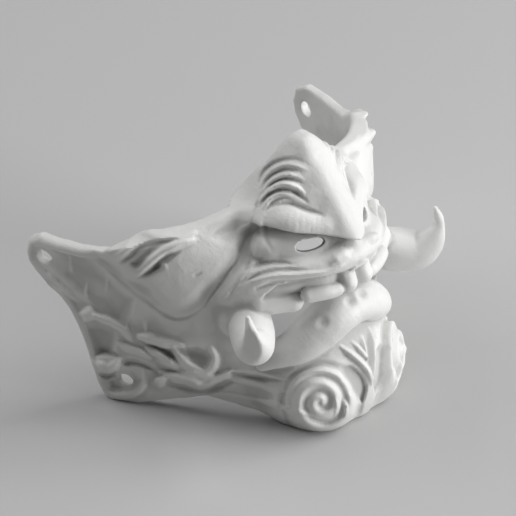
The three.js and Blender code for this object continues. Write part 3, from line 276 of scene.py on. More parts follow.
PATCHES = {
    "pit under the first flame": (-3.8, 3, ((-55.3, 38.1), (-52, 35.2), (-48.8, 35.6), (-45.5, 38.9),
        (-41.9, 42.1), (-39.4, 45), (-42.7, 46.2), (-46.7, 45.4), (-50.4, 43.3))),
    "pit under the second flame": (-3, 2.5, ((-46.3, 34.4), (-42.7, 34), (-39.4, 35.6), (-39.8, 38.9),
        (-36.2, 42.1), (-38.6, 43.3), (-42.3, 40.1))),
    "light knob of the jaw": (3.2, 3, ((-75.9, 17.8), (-70.3, 21.4), (-67, 18.6), (-64.2, 14.9),
        (-68.6, 14.5), (-72.7, 14.1))),
    "hollow of the jaw": (-3.2, 4, ((-71.9, 12.5), (-67.4, 14.5), (-61.3, 12.5), (-58.9, 7.6),
        (-59.7, 2.8), (-58.1, -0.1), (-63, -1.3), (-68.6, 0.3), (-71.1, 6))),
    "hollow of the hook": (-1.8, 3, ((-32.9, 4), (-27.3, 4.8), (-22.4, 2.8), (-21.2, -0.1), (-23.6, -2.5),
        (-27.7, -1.3), (-31.3, 0.8))),
    "upper slab": (2.2, 2, ((-51.6, 9.3), (-45.9, 10.9), (-39.4, 8.9), (-32.1, 6), (-32.1, 3.2),
        (-38.6, 4), (-45.9, 5.6), (-50.8, 6.8))),
    "lower slab": (2.2, 2, ((-44.7, -8.6), (-37.8, -5.7), (-29.7, -4.9), (-20.8, -6.1), (-12.7, -4.5),
        (-13.5, -7.4), (-22.8, -10.2), (-27.3, -12.6), (-32.1, -10.2), (-37.8, -9.8), (-42.7, -11.8))),
    "chip over the hole": (2.2, 2, ((-69, 0.3), (-64.2, 2.4), (-58.5, 0.3), (-57.7, -3.3),
        (-62.6, -6.6), (-67.8, -4.5))),
    "cheek beside the mouth": (1.6, 5, ((-0.5, 57.5), (1.9, 49.4), (-0.5, 38.5), (-5.4, 29.1),
        (-12.7, 23.9), (-20, 22.3), (-16.7, 27.9), (-11, 36.9), (-7, 45), (-4.5, 52.3))),
    "pocket over the hole": (-2.6, 2.5, ((-58.9, -1.7), (-54, -0.1), (-48, -1.7), (-43.5, -4.5),
        (-42.3, -7), (-46.7, -6.1), (-51.6, -4.5), (-56.5, -4.1))),
    "basin round the hole": (-1.5, 2.5, ((-64.2, -9.4), (-60.1, -6.1), (-54, -4.9), (-50.4, -7.8),
        (-51.2, -12.6), (-56.5, -14.7), (-62.2, -13.4))),
    "basin of the flap": (-1.8, 5, ((-93, 43.3), (-88.5, 44.6), (-81.6, 44.2), (-74.3, 42.1),
        (-67.8, 38.9), (-61.3, 34.4), (-54.8, 28.7), (-50, 23.9), (-53.2, 15.8), (-58.9, 12.9),
        (-66.2, 18.2), (-72.7, 23.1), (-80, 29.6), (-87.3, 36), (-92.2, 39.3))),
    "crescent beside the curl": (-3.9, 1.8, ((31.2, -4.1), (35.2, -2.9), (38.9, -5.3), (41.7, -9),
        (42.5, -13.9), (40.5, -19.1), (38.1, -16.3), (35.6, -11.8), (33.6, -8.2))),
}
CHIN_CURL = {"middle": (23.4, -18.3), "radius": 14.4, "edge": 2, "pitch": 6.1, "disc": 0.8, "rise": 2.3}
CURL_MOAT = {"away": 1.2, "depth": 1.2, "width": 2.2}
FLAP_RIM = {"from": 80, "fade": 10, "inset": 2.5, "width": 3, "rise": 1.4}

# A stroke thins towards its ends, a cut fades beside an open rim, and none crosses the bridge
STROKE_END = {"fullness": 0.25, "share": 0.35, "narrowest": 0.4}
CUT_FADE = {"from": -1, "over": 7, "least": 0.15}
BRIDGE_CLEAR = {"from_x": 4, "over": 8, "above_z": 86, "rising": 4}

# How finely smooth curves are drawn between two given points, and how finely relief is worked
# out. A place past a table's last entry is read just before it.
CURVE_STEPS = {"tube": 6, "crown": 6, "stroke": 5, "patch": 3}
RELIEF_STEP = 0.4
TABLE_END = 1.001

# How far from the form the relief still shows, and the deepest that it cuts
RELIEF_DEPTH = 14
DEEPEST_CUT = 2.7

# Painted shade and polish: the rounds of averaging that a place is compared with, and the height that
# counts as full
SHADE_AND_POLISH_MEASURE = {"rounds": 20, "full": 0.5}

# The marks of the sculpting tool, with spare rows of marks so that each place has one beyond it
CHISEL = {"spacing": 4.3, "depth": 0.16, "seed": 7, "spare": 3}

# Soft joins between the parts of the form, and of the nose to the wall, softer higher up
JOIN = {
    "muzzle": 6, "chin": 6, "lip": 4, "tooth": 0.8, "socket": 2, "tusk": 1.2, "edge": 1.5, "cut": 1,
    "rim": 2.6,
}
NOSE_TO_WALL = {"low": 3, "low_z": 76, "high": 20, "high_z": 92}
NOSE_JOIN = {"bridge": 1.5, "underside": 1.2, "plan": 3, "base": 3, "wing": 2}

# The nose is solid above the ceiling, because the hollow stays inside the wall there
CEILING = {"z": 96, "steepness": 2.2}

# The limits of the steepness that a distance is divided by
STEEPNESS = {"least": 0.4, "most": 2.5}

# The photograph's view: azimuth and height in degrees, the point at the picture's middle in
# millimetres, and the picture's scale there
PICTURE_WIDTH = 516
VIEW_AZIMUTH = -45
VIEW_HEIGHT = 35.264
VIEW_TARGET = (-11.5, -5.0, 59.1)
PIXELS_PER_MM = 2.465
SENSOR_MM = 36

# The camera's distance and the end of its sight, and the floor, in metres
VIEW_AWAY = 2.4
VIEW_END = 50
FLOOR = {"half_width": 6, "roughness": 0.9}

# The plastic: blotches of tone, soft dabs and a fine tooth, with scales per metre and heights in
# metres
BLOTCHES = {"Scale": 90, "Detail": 4}
BLOTCH_TONE = 0.94
DABS = {"Scale": 210, "Detail": 2, "Distortion": 0.5}
DAB_BUMP = {"Strength": 0.25, "Distance": 0.001}
TOOTH = {"Scale": 1400, "Detail": 3}
TOOTH_BUMP = {"Strength": 0.06, "Distance": 0.0004}

# How the plastic changes from its hollows to its edges: painted shade darkens the hollows, a painted
# highlight lightens the edges, and the hollows are rougher than the edges
PAINTED_SHADE_RANGE = {"From Min": 0.05, "From Max": 0.6}
POLISH_RANGE = {"From Min": 0.3, "From Max": 0.9}
PAINTED_EDGE_HIGHLIGHT = 1.04
HOLLOW_ROUGHER = 0.12
EDGE_SMOOTHER = 0.1

# The lights: azimuth and height in degrees, distance and size in metres
LIGHTS = {
    "key": {"azimuth": 30, "height": 12, "away": 1.3, "size": 0.6},
    "side": {"azimuth": 60, "height": 45, "away": 1.5, "size": 0.8},
    "back": {"azimuth": 208, "height": 45, "away": 2, "size": 1.5},
    "top": {"azimuth": 0, "height": 90, "away": 2, "size": 1.5},
}


def join(a, b, softness):
    """The smooth minimum of two distances."""
    share = np.clip(0.5 + 0.5 * (b - a) / softness, 0, 1)
    return b * (1 - share) + a * share - softness * share * (1 - share)


def keep(a, b, softness):
    """The smooth maximum of two distances."""
    return -join(-a, -b, softness)


def ease(share):
    """A share between 0 and 1, made to start and stop gently."""
    return share * share * (3 - 2 * share)


def bump(distance, width):
    """One at no distance, falling smoothly to nothing at the width."""
    return np.clip(1 - (distance / width) ** 2, 0, 1) ** 2


def offsets_from(x, y, z, place):
    """How far each point is from a place, along each axis."""
    return [value - at for value, at in zip((x, y, z), place)]


def along_way(values, way):
    """How far a point or an offset reaches along a direction."""
    return sum(value * part for value, part in zip(values, way))


def curve_points(points, steps_per_span):
    """Points along a smooth curve through the given ones."""
    given = np.array(points, float)
    if len(given) == 2:
        return given
    padded = np.vstack([2 * given[0] - given[1], given, 2 * given[-1] - given[-2]])
    spans = len(given) - 1
    curve = []
    for s in np.linspace(0, spans - TINY, steps_per_span * spans + 1):
        a, b, c, d = padded[int(s):int(s) + 4]
        t = s - int(s)
        bend = 2 * a - 5 * b + 4 * c - d
        twist = -a + 3 * b - 3 * c + d
        curve.append(0.5 * (2 * b + (c - a) * t + bend * t ** 2 + twist * t ** 3))
    return np.array(curve)


def smooth_values(knots, values, x):
    """The values at x of smooth curves through rows of values, flat beyond the ends."""
    knots = np.array(knots, float)
    values = np.array(values, float)
    x = np.clip(x, knots[0], knots[-1])
    i = np.clip(np.searchsorted(knots, x, side="right") - 1, 0, len(knots) - 2)
    slopes = np.diff(values, axis=0) / np.diff(knots)[:, None]
    tangents = np.vstack([slopes[:1], 0.5 * (slopes[1:] + slopes[:-1]), slopes[-1:]])
    span = (knots[i + 1] - knots[i])[:, None]
    t = (x - knots[i])[:, None] / span
    rise = ease(t)
    start = tangents[i] * t * (1 - t) ** 2
    stop = tangents[i + 1] * t * t * (1 - t)
    return values[i] * (1 - rise) + values[i + 1] * rise + span * (start - stop)


class Table:
    """Values over a sheet of two directions, read back between its entries."""

    def __init__(self, across, up, step, values_at):
        self.across, self.up, self.step = across, up, step
        columns = np.arange(across[0], across[1] + step, step)
        rows = np.arange(up[0], up[1] + step, step)
        self.values = values_at(columns, rows)

    def read(self, across, up):
        """The value at each place on the sheet."""
        table = self.values
        row = np.clip((up - self.up[0]) / self.step, 0, table.shape[0] - TABLE_END)
        column = np.clip((across - self.across[0]) / self.step, 0, table.shape[1] - TABLE_END)
        i, j = row.astype(int), column.astype(int)
        right, above = column - j, row - i
        low = table[i, j] * (1 - right) + table[i, j + 1] * right
        high = table[i + 1, j] * (1 - right) + table[i + 1, j + 1] * right
        return low * (1 - above) + high * above


def loft_radii(angles, heights):
    """The wall's radius at each height and angle."""
    at_heights = smooth_values(list(LOFT), list(LOFT.values()), heights)
    mirrored = np.hstack([at_heights[:, 1:2], at_heights])
    return smooth_values((-LOFT_ANGLES[1],) + LOFT_ANGLES, mirrored.T, angles).T


def angle_of(x, y):
    """Degrees round the wall from the middle of the face."""
    return np.degrees(np.arctan2(x, AXIS_Y - y))


def ellipsoid_distance(x, y, z, centre, radii):
    """Roughly the distance to an ellipsoid."""
    offsets = offsets_from(x, y, z, centre)
    size = np.sqrt(sum((offset / radius) ** 2 for offset, radius in zip(offsets, radii)))
    steepness = np.sqrt(sum((offset / radius ** 2) ** 2 for offset, radius in zip(offsets, radii)))
    return size * (size - 1) / np.maximum(steepness, TINY)


def tube_distance(x, y, z, path, radii, flat_way=None, flatness=1):
    """The distance to a tapered tube along a smooth path, pressed flat one way if asked."""
    centres = curve_points(path, CURVE_STEPS["tube"])
    sizes = curve_points([(radius,) for radius in radii], CURVE_STEPS["tube"])[:, 0]
    best = None
    for a, b, first, last in zip(centres[:-1], centres[1:], sizes[:-1], sizes[1:]):
        edge = b - a
        t = np.clip(along_way(offsets_from(x, y, z, a), edge) / (edge @ edge), 0, 1)
        offsets = [value - start - t * step for value, start, step in zip((x, y, z), a, edge)]
        squared = sum(offset ** 2 for offset in offsets)
        if flat_way:
            squared = squared + (flatness ** 2 - 1) * along_way(offsets, flat_way) ** 2
        distance = np.sqrt(squared) - first - (last - first) * t
        best = distance if best is None else np.minimum(best, distance)
    return best


def outline_distance(x, y, points):
    """The distance to a closed outline, negative inside it."""
    best = np.inf
    inside = np.zeros(np.broadcast(x, y).shape, bool)
    for (ax, ay), (bx, by) in zip(points, points[1:] + points[:1]):
        ex, ey = bx - ax, by - ay
        t = np.clip(((x - ax) * ex + (y - ay) * ey) / max(ex * ex + ey * ey, TINY), 0, 1)
        best = np.minimum(best, np.hypot(x - ax - t * ex, y - ay - t * ey))
        if ay != by:
            inside ^= ((ay > y) != (by > y)) & (x < ax + ex * (y - ay) / ey)
    return np.where(inside, -best, best)


def nose_distance(x, y, z):
    """The space under the bridge's profile, leaning away on both sides, with base and wings."""
    lean = math.radians(BRIDGE_LEAN)
    wedge = -np.inf
    for (y0, z0), (y1, z1) in zip(BRIDGE[:-1], BRIDGE[1:]):
        length = math.hypot(y1 - y0, z1 - z0)
        front = ((y - y0) * (z1 - z0) - (z - z0) * (y1 - y0)) / length
        side = (x - BRIDGE_HALF_WIDTH) * math.cos(lean) + front * math.sin(lean)
        wedge = np.maximum(wedge, keep(front, side, NOSE_JOIN["bridge"]))
    slope = NOSE_UNDERSIDE["slope"]
    drop = NOSE_UNDERSIDE["z"] - z - slope * (y - NOSE_UNDERSIDE["y"]) + NOSE_UNDERSIDE["side_slope"] * x
    plan_radii = (NOSE_PLAN["half_width"], NOSE_PLAN["half_depth"], 1)
    plan = ellipsoid_distance(x, y, 0 * z, (0, NOSE_PLAN["y"], 0), plan_radii)
    wedge = keep(wedge, plan, NOSE_JOIN["plan"])
    wedge = join(wedge, tube_distance(x, y, z, **NOSE_WING), NOSE_JOIN["wing"])
    wedge = keep(wedge, drop / math.hypot(1, slope), NOSE_JOIN["underside"])
    return join(wedge, tube_distance(x, y, z, **NOSE_BASE), NOSE_JOIN["base"])


def nostril_distance(x, y, z):
    """A flattened tunnel that runs in, back and down from beside the nose."""
    axis = Vector(NOSTRIL_AXIS).normalized()
    wide = Vector(NOSTRIL_WIDE)
    tall = axis.cross(wide).normalized()
    offsets = offsets_from(x, y, z, NOSTRIL["middle"])
    along, across, up = (along_way(offsets, way) for way in (axis, wide, tall))
    half_height = NOSTRIL["half_height"]
    tunnel = (np.hypot(across / NOSTRIL["half_width"], up / half_height) - 1) * half_height
    return np.maximum(tunnel, np.maximum(-along - NOSTRIL["outward"], along - NOSTRIL["inward"]))


def main_form(x, y, z, wall):
    """The wall with the muzzle, chin, nose and upper lip joined on."""
    distance = join(wall, ellipsoid_distance(x, y, z, **MUZZLE), JOIN["muzzle"])
    distance = join(distance, ellipsoid_distance(x, y, z, **CHIN), JOIN["chin"])
    heights = (NOSE_TO_WALL["low_z"], NOSE_TO_WALL["high_z"])
    softness = np.interp(z, heights, (NOSE_TO_WALL["low"], NOSE_TO_WALL["high"]))
    distance = join(distance, nose_distance(x, y, z), softness)
    distance = join(distance, ellipsoid_distance(x, y, z, **PHILTRUM), JOIN["lip"])
    return join(distance, tube_distance(x, y, z, **UPPER_LIP), JOIN["lip"])


def made_true(distance, step):
    """A distance divided by its own steepness, within limits."""
    gradients = np.gradient(distance, step)
    steepness = np.sqrt(sum(gradient ** 2 for gradient in gradients))
    return distance / np.clip(steepness, STEEPNESS["least"], STEEPNESS["most"])


def add_stroke(rises, columns, rows, width, rise, path):
    """Adds a ridge or cut along a path, fullest in its middle and thinner towards both ends."""
    points = curve_points(path, CURVE_STEPS["stroke"])
    steps = np.hypot(*(points[1:] - points[:-1]).T)
    along = np.concatenate([[0], np.cumsum(steps)]) / steps.sum()
    low, high = points.min(axis=0) - width, points.max(axis=0) + width
    left, right = np.searchsorted(columns, (low[0], high[0]))
    bottom, top = np.searchsorted(rows, (low[1], high[1]))
    x, y = columns[None, left:right], rows[bottom:top, None]
    nearest = np.full((top - bottom, right - left), np.inf)
    position = np.zeros(nearest.shape)
    for a, b, first, last in zip(points[:-1], points[1:], along[:-1], along[1:]):
        edge = b - a
        t = np.clip(((x - a[0]) * edge[0] + (y - a[1]) * edge[1]) / (edge @ edge), 0, 1)
        distance = np.hypot(x - a[0] - t * edge[0], y - a[1] - t * edge[1])
        closer = distance < nearest
        nearest = np.where(closer, distance, nearest)
        position = np.where(closer, first + (last - first) * t, position)
    from_end = np.minimum(position, 1 - position) / STROKE_END["share"]
    fullness = np.minimum(1, STROKE_END["fullness"] + from_end)
    narrowing = STROKE_END["narrowest"] + (1 - STROKE_END["narrowest"]) * fullness
    rises[bottom:top, left:right] += rise * fullness * bump(nearest, width * narrowing)


def patch_rise(x, y, rise, edge, outline):
    """A raised or sunk patch with a soft edge."""
    curve = curve_points(outline + outline[:1], CURVE_STEPS["patch"])[:-1]
    points = [tuple(point) for point in curve]
    return rise * ease(np.clip(-outline_distance(x, y, points) / edge, 0, 1))


def curl_rise(across, up):
    """The spiral on each side of the chin, and the moat round it."""
    x = across - CHIN_CURL["middle"][0]
    y = up - CHIN_CURL["middle"][1]
    distance = np.hypot(x, y)
    turn = distance / CHIN_CURL["pitch"] - np.arctan2(y, x) / (2 * math.pi)
    ridge = 0.5 + 0.5 * np.cos(2 * math.pi * turn)
    disc = np.sqrt(np.clip((CHIN_CURL["radius"] - distance) / CHIN_CURL["edge"], 0, 1))
    past_disc = distance - CHIN_CURL["radius"] - CURL_MOAT["away"]
    moat = CURL_MOAT["depth"] * bump(past_disc, CURL_MOAT["width"])
    return disc * (CHIN_CURL["disc"] + CHIN_CURL["rise"] * ridge) - moat


def carving_rises(columns, rows):
    """The carving's height at each place on the quarter's sheet."""
    across, up = columns[None, :], rows[:, None]
    rises = curl_rise(across, up)
    for strokes in (CHEEK_STROKES, NOSE_STROKES, LIP_STROKES, JAW_STROKES, BEARD_STROKES):
        for width, rise, path in strokes.values():
            add_stroke(rises, columns, rows, width, rise, path)
    for rise, edge, outline in PATCHES.values():
        rises += patch_rise(across, up, rise, edge, outline)
    return rises


def lobe_rises(columns, rows):
    """The cheek lobe's height at each place on the quarter's sheet."""
    lean, thinning = CHEEK_LOBE["lean"], CHEEK_LOBE["thinning"]
    across, up = columns[None, :], rows[:, None]
    rises = patch_rise(across, up, CHEEK_LOBE["rise"], CHEEK_LOBE["edge"], CHEEK_LOBE["outline"])
    rises *= np.interp(up, (lean["from"], lean["to"]), (lean["least"], 1))
    return rises * np.interp(across, (thinning["from"], thinning["to"]), (1, thinning["least"]))


def relief(x, y, z, angle, form, side, top):
    """The carving alone, and the surface's whole rise with the lobe and the flap's rim."""
    across, up = (along_way((x, y, z), way) for way in (QUARTER_ACROSS, QUARTER_UP))
    lobe = Table(**QUARTER_SHEET, step=RELIEF_STEP, values_at=lobe_rises).read(across, up)
    carving = Table(**QUARTER_SHEET, step=RELIEF_STEP, values_at=carving_rises).read(across, up)
    from_bridge = np.clip((x - BRIDGE_CLEAR["from_x"]) / BRIDGE_CLEAR["over"], 0, 1)
    on_nose = np.clip((z - BRIDGE_CLEAR["above_z"]) / BRIDGE_CLEAR["rising"], 0, 1)
    carving = carving * (1 - on_nose * (1 - from_bridge))
    high = np.clip((z - LOBE_FADE["height"]) / LOBE_FADE["over_height"], 0, 1)
    inward = np.clip((LOBE_FADE["angle"] - angle) / LOBE_FADE["over_angle"], 0, 1)
    rise = carving + lobe * (1 - LOBE_FADE["share"] * high * inward)
    rise = np.maximum(rise, -DEEPEST_CUT) * np.clip(1 - np.abs(form) / RELIEF_DEPTH, 0, 1)
    from_rim = (np.minimum(-top, -side) - CUT_FADE["from"]) / CUT_FADE["over"]
    rise = np.where(rise < 0, rise * np.clip(from_rim, CUT_FADE["least"], 1), rise)
    on_flap = np.clip((angle - FLAP_RIM["from"]) / FLAP_RIM["fade"], 0, 1)
    rim = FLAP_RIM["rise"] * on_flap * bump(-side - FLAP_RIM["inset"], FLAP_RIM["width"])
    return carving, rise + rim


def with_mouth(distance, x, y, z):
    """The shell with the gap between the lips, the lower lip, the teeth and the tusks."""
    gap = np.maximum(outline_distance(x[:, 0], z[0], MOUTH_GAP)[:, None], y - MOUTH_GAP_BACK)
    distance = keep(distance, -gap, JOIN["cut"])
    lower_lip = tube_distance(x, y, z, **LOWER_LIP)
    for centre in LIP_DENTS["centres"]:
        from_centre = np.sqrt(sum(offset ** 2 for offset in offsets_from(x, y, z, centre)))
        lower_lip = keep(lower_lip, LIP_DENTS["radius"] - from_centre, JOIN["cut"])
    distance = join(distance, lower_lip, JOIN["edge"])
    for tooth in (GUM,) + TEETH:
        distance = join(distance, tube_distance(x, y, z, **tooth), JOIN["tooth"])
    distance = join(distance, ellipsoid_distance(x, y, z, **TUSK_SOCKET), JOIN["socket"])
    past_face = along_way(offsets_from(x, y, z, TUSK_FACE["point"]), TUSK_FACE["way"])
    tusk = keep(tube_distance(x, y, z, **TUSK), past_face, JOIN["cut"])
    return join(distance, tusk, JOIN["tusk"])


def chisel_marks(xs, ys, zs):
    """Shallow uneven marks all over the surface, the same on both sides."""
    spacing = CHISEL["spacing"]
    dice = np.random.default_rng(CHISEL["seed"])
    shape = [int((axis[-1] - axis[0]) / spacing) + CHISEL["spare"] for axis in (xs, ys, zs)]
    marks = dice.uniform(-CHISEL["depth"], CHISEL["depth"], shape)
    for turn, axis in enumerate((xs, ys, zs)):
        at = (axis - axis[0]) / spacing
        low = at.astype(int)
        share = ease((at - low).reshape([-1 if turn == way else 1 for way in range(3)]))
        marks = marks.take(low, turn) * (1 - share) + marks.take(low + 1, turn) * share
    return marks


def mask_field(step):
    """The mask's distance on a grid of its left half, and the grid's axes."""
    xs = np.arange(0, FIELD["width"] + step, step)
    ys = np.arange(FIELD["front"], FIELD["back"] + step, step)
    zs = np.arange(FIELD["bottom"], FIELD["top"] + step, step)
    x, y, z = np.meshgrid(xs, ys, zs, indexing="ij", sparse=True)
    angle = angle_of(x, y)
    turns = (LOFT_ANGLES[0], LOFT_ANGLES[-1])
    loft = Table(turns, (FIELD["bottom"], FIELD["top"]), LOFT_STEP, loft_radii)
    wall = np.hypot(x, y - AXIS_Y) - loft.read(angle, z)
    form = made_true(main_form(x, y, z, wall), step)
    side = outline_distance(y[0], z[0], SIDE_OUTLINE)[None]
    crown = curve_points(CROWN, CURVE_STEPS["crown"])
    top = (z - np.interp(x, crown[:, 0], crown[:, 1])) * CROWN_LEAN
    carving, rise = relief(x, y, z, angle, form, side, top)

    under_ceiling = CEILING["steepness"] * np.maximum(0, CEILING["z"] - z)
    hollow = np.maximum(form + WALL, wall + WALL - under_ceiling)
    distance = with_mouth(keep(form - rise, -hollow, JOIN["cut"]), x, y, z)
    distance = keep(distance, side, JOIN["edge"])
    distance = keep(distance, top - carving * (x < NOSE_PLAN["half_width"]), JOIN["rim"])
    distance = np.maximum(distance, -nostril_distance(x, y, z))
    for hole_y, hole_z, radius in STRAP_HOLES.values():
        bore = np.maximum(np.hypot(y - hole_y, z - hole_z) - radius, STRAP_HOLE_FROM_X - x)
        distance = np.maximum(distance, -bore)
    distance = distance + chisel_marks(xs, ys, zs)
    return np.maximum(distance, -z), xs, ys, zs


def mesh_from_field(name, step):
    """A closed mesh of the whole mask, in metres, from the field and its mirror image."""
    half, xs, ys, zs = mask_field(step)
    whole = np.concatenate([half[:0:-1], half]).astype(np.float32)
    grid = openvdb.FloatGrid(background=float(whole.max()))
    grid.copyFromArray(whole)
    points, quads = grid.convertToQuads(isovalue=0.0)
    corner = np.array([-xs[-1], ys[0] + SHIFT_TO_CENTRE_Y, zs[0]])
    places = (np.array(points) * step + corner) * MILLIMETRE
    mesh = bpy.data.meshes.new(name)
    mesh.from_pydata(places.tolist(), [], np.array(quads).tolist())
    mesh.validate()
    mesh.update()
    return mesh


def mark_painted_shade_and_polish(mesh):
    """Writes how far each point stands out (1) or lies in a hollow (0) as an attribute, which the plastic
    uses for painted shade in hollows, painted highlights on edges and its polish.
    """
    count = len(mesh.vertices)
    places = np.empty(3 * count)
    normals = np.empty(3 * count)
    edges = np.empty(2 * len(mesh.edges), int)
    mesh.vertices.foreach_get("co", places)
    mesh.vertices.foreach_get("normal", normals)
    mesh.edges.foreach_get("vertices", edges)
    places, normals, edges = places.reshape(-1, 3), normals.reshape(-1, 3), edges.reshape(-1, 2)
    neighbours = np.bincount(edges.ravel(), minlength=count)[:, None]
    smooth = places.copy()
    for _ in range(SHADE_AND_POLISH_MEASURE["rounds"]):
        total = np.zeros((count, 3))
        for way in range(3):
            total[:, way] += np.bincount(edges[:, 0], smooth[edges[:, 1], way], count)
            total[:, way] += np.bincount(edges[:, 1], smooth[edges[:, 0], way], count)
        smooth = total / np.maximum(neighbours, 1)
    # How far a place stands out: hollows get painted shade and edges a painted highlight in the plastic's
    # colour, and the same value sets its polish
    standing = ((places - smooth) * normals).sum(axis=1) / (SHADE_AND_POLISH_MEASURE["full"] * MILLIMETRE)
    wear = mesh.attributes.new("wear", "FLOAT", "POINT")
    wear.data.foreach_set("value", (0.5 + 0.5 * np.clip(standing, -1, 1)).astype(np.float32))


def as_plain_mesh(piece):
    """Swaps a piece's mesh for the one its modifiers make, and removes them."""
    graph = bpy.context.evaluated_depsgraph_get()
    finished = bpy.data.meshes.new_from_object(piece.evaluated_get(graph))
    finished.name = piece.name
    piece.modifiers.clear()
    piece.data = finished


class MaskSettings(bpy.types.PropertyGroup):
    """The sizes of the sculpt and its finish."""
    grain: bpy.props.FloatProperty(
        name="Grain", description="Step of the grid that the sculpt is worked out on, in millimetres",
        default=0.65, min=0.5, max=3)
    facets: bpy.props.IntProperty(
        name="Facets", description="Number of flat facets that the sculpt is thinned to",
        default=110000, min=5000, max=190000)
    colour: bpy.props.FloatVectorProperty(
        name="Plastic", description="Colour of the plastic", default=(0.78, 0.78, 0.766),
        min=0, max=1, size=3, subtype="COLOR")
    roughness: bpy.props.FloatProperty(
        name="Roughness", description="Roughness of the plastic", default=0.55, min=0, max=1,
        subtype="FACTOR")
    # Painted shade: how dark the hollows are painted
    painted_hollow_shade: bpy.props.FloatProperty(
        name="Hollows", description="Tone of the hollows beside that of the open surface",
        default=0.8, min=0, max=1, subtype="FACTOR")


class StageSettings(bpy.types.PropertyGroup):
    """The floor and the light."""
    floor_colour: bpy.props.FloatVectorProperty(
        name="Floor", description="Colour of the floor", default=(0.53, 0.53, 0.53),
        min=0, max=1, size=3, subtype="COLOR")
    key_power: bpy.props.FloatProperty(
        name="Key light", description="Power of the low soft light at the front right",
        default=11.6, min=0, unit="POWER")
    side_power: bpy.props.FloatProperty(
        name="Side light", description="Power of the high soft light on the right",
        default=9.7, min=0, unit="POWER")
    back_power: bpy.props.FloatProperty(
        name="Back light", description="Power of the wide light behind on the left",
        default=15, min=0, unit="POWER")
    top_power: bpy.props.FloatProperty(
        name="Top light", description="Power of the wide light overhead",
        default=11, min=0, unit="POWER")
    sky_strength: bpy.props.FloatProperty(
        name="Sky", description="Strength of the even light from all round", default=0.01, min=0)


def new_node(tree, kind, values=None, sources=None, **choices):
    """A node with its choices made, and with values or sources on its inputs."""
    node = tree.nodes.new(kind)
    for name, choice in choices.items():
        setattr(node, name, choice)
    for name, value in (values or {}).items():
        node.inputs[name].default_value = value
    for name, source in (sources or {}).items():
        tree.links.new(source, node.inputs[name])
    return node


def plastic_material(settings):
    """Matte plastic with a faint change of tone, painted shade in the hollows and a painted highlight on
    the edges, smoother edges, soft dabs and a fine tooth.
    """
    material = bpy.data.materials.new("matte_plastic")
    material.use_nodes = True
    tree = material.node_tree
    place = {"Vector": new_node(tree, "ShaderNodeTexCoord").outputs["Object"]}
    wear = {"Value": new_node(tree, "ShaderNodeAttribute", attribute_name="wear").outputs["Fac"]}

    blotches = new_node(tree, "ShaderNodeTexNoise", BLOTCHES, place)
    dark = (*[BLOTCH_TONE * value for value in settings.colour], 1)
    tones = {"A": dark, "B": (*settings.colour, 1)}
    tone = new_node(tree, "ShaderNodeMix", tones, {"Factor": blotches.outputs["Fac"]}, data_type="RGBA")
    # Painted shade in the hollows and a painted highlight on the edges, multiplied into the colour
    shade = new_node(tree, "ShaderNodeMapRange", {
        **PAINTED_SHADE_RANGE, "To Min": settings.painted_hollow_shade, "To Max": PAINTED_EDGE_HIGHLIGHT,
    }, wear)
    layers = {"A": tone.outputs["Result"], "B": shade.outputs["Result"]}
    painted_shade_tone = new_node(tree, "ShaderNodeMix", {"Factor": 1}, layers, data_type="RGBA", blend_type="MULTIPLY")
    polish = new_node(tree, "ShaderNodeMapRange", {
        **POLISH_RANGE,
        "To Min": settings.roughness + HOLLOW_ROUGHER,
        "To Max": settings.roughness - EDGE_SMOOTHER,
    }, wear)

    dabs = new_node(tree, "ShaderNodeTexNoise", DABS, place)
    tooth = new_node(tree, "ShaderNodeTexNoise", TOOTH, place)
    worked = new_node(tree, "ShaderNodeBump", DAB_BUMP, {"Height": dabs.outputs["Fac"]})
    pressed = {"Height": tooth.outputs["Fac"], "Normal": worked.outputs["Normal"]}
    press = new_node(tree, "ShaderNodeBump", TOOTH_BUMP, pressed)
    shader = tree.nodes["Principled BSDF"]
    tree.links.new(painted_shade_tone.outputs["Result"], shader.inputs["Base Color"])
    tree.links.new(polish.outputs["Result"], shader.inputs["Roughness"])
    tree.links.new(press.outputs["Normal"], shader.inputs["Normal"])
    return material


def direction(azimuth, height):
    """The direction that an azimuth and a height in degrees give, seen from the mask."""
    turn, tilt = math.radians(azimuth), math.radians(height)
    return Vector((math.sin(turn) * math.cos(tilt), -math.cos(turn) * math.cos(tilt), math.sin(tilt)))


class MASK_OT_sculpt(bpy.types.Operator):
    """Sculpt the half mask and put it in place of the plain solid"""
    bl_idname = "mask.sculpt"
    bl_label = "Sculpt the mask"

    def execute(self, context):
        """Makes the shell, thins it to facets and dresses it."""
        settings = context.scene.mask_settings
        mesh = mesh_from_field("carved_mask", settings.grain)
        piece = bpy.data.objects.new("carved_mask", mesh)
        context.scene.collection.objects.link(piece)
        thinning = piece.modifiers.new("facets", "DECIMATE")
        thinning.ratio = settings.facets / (2 * len(mesh.polygons))
        thinning.use_collapse_triangulate = True
        as_plain_mesh(piece)
        mark_painted_shade_and_polish(piece.data)
        piece.data.shade_flat()
        piece.data.materials.append(plastic_material(settings))
        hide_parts("mask")
        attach(piece, "root")
        return {"FINISHED"}


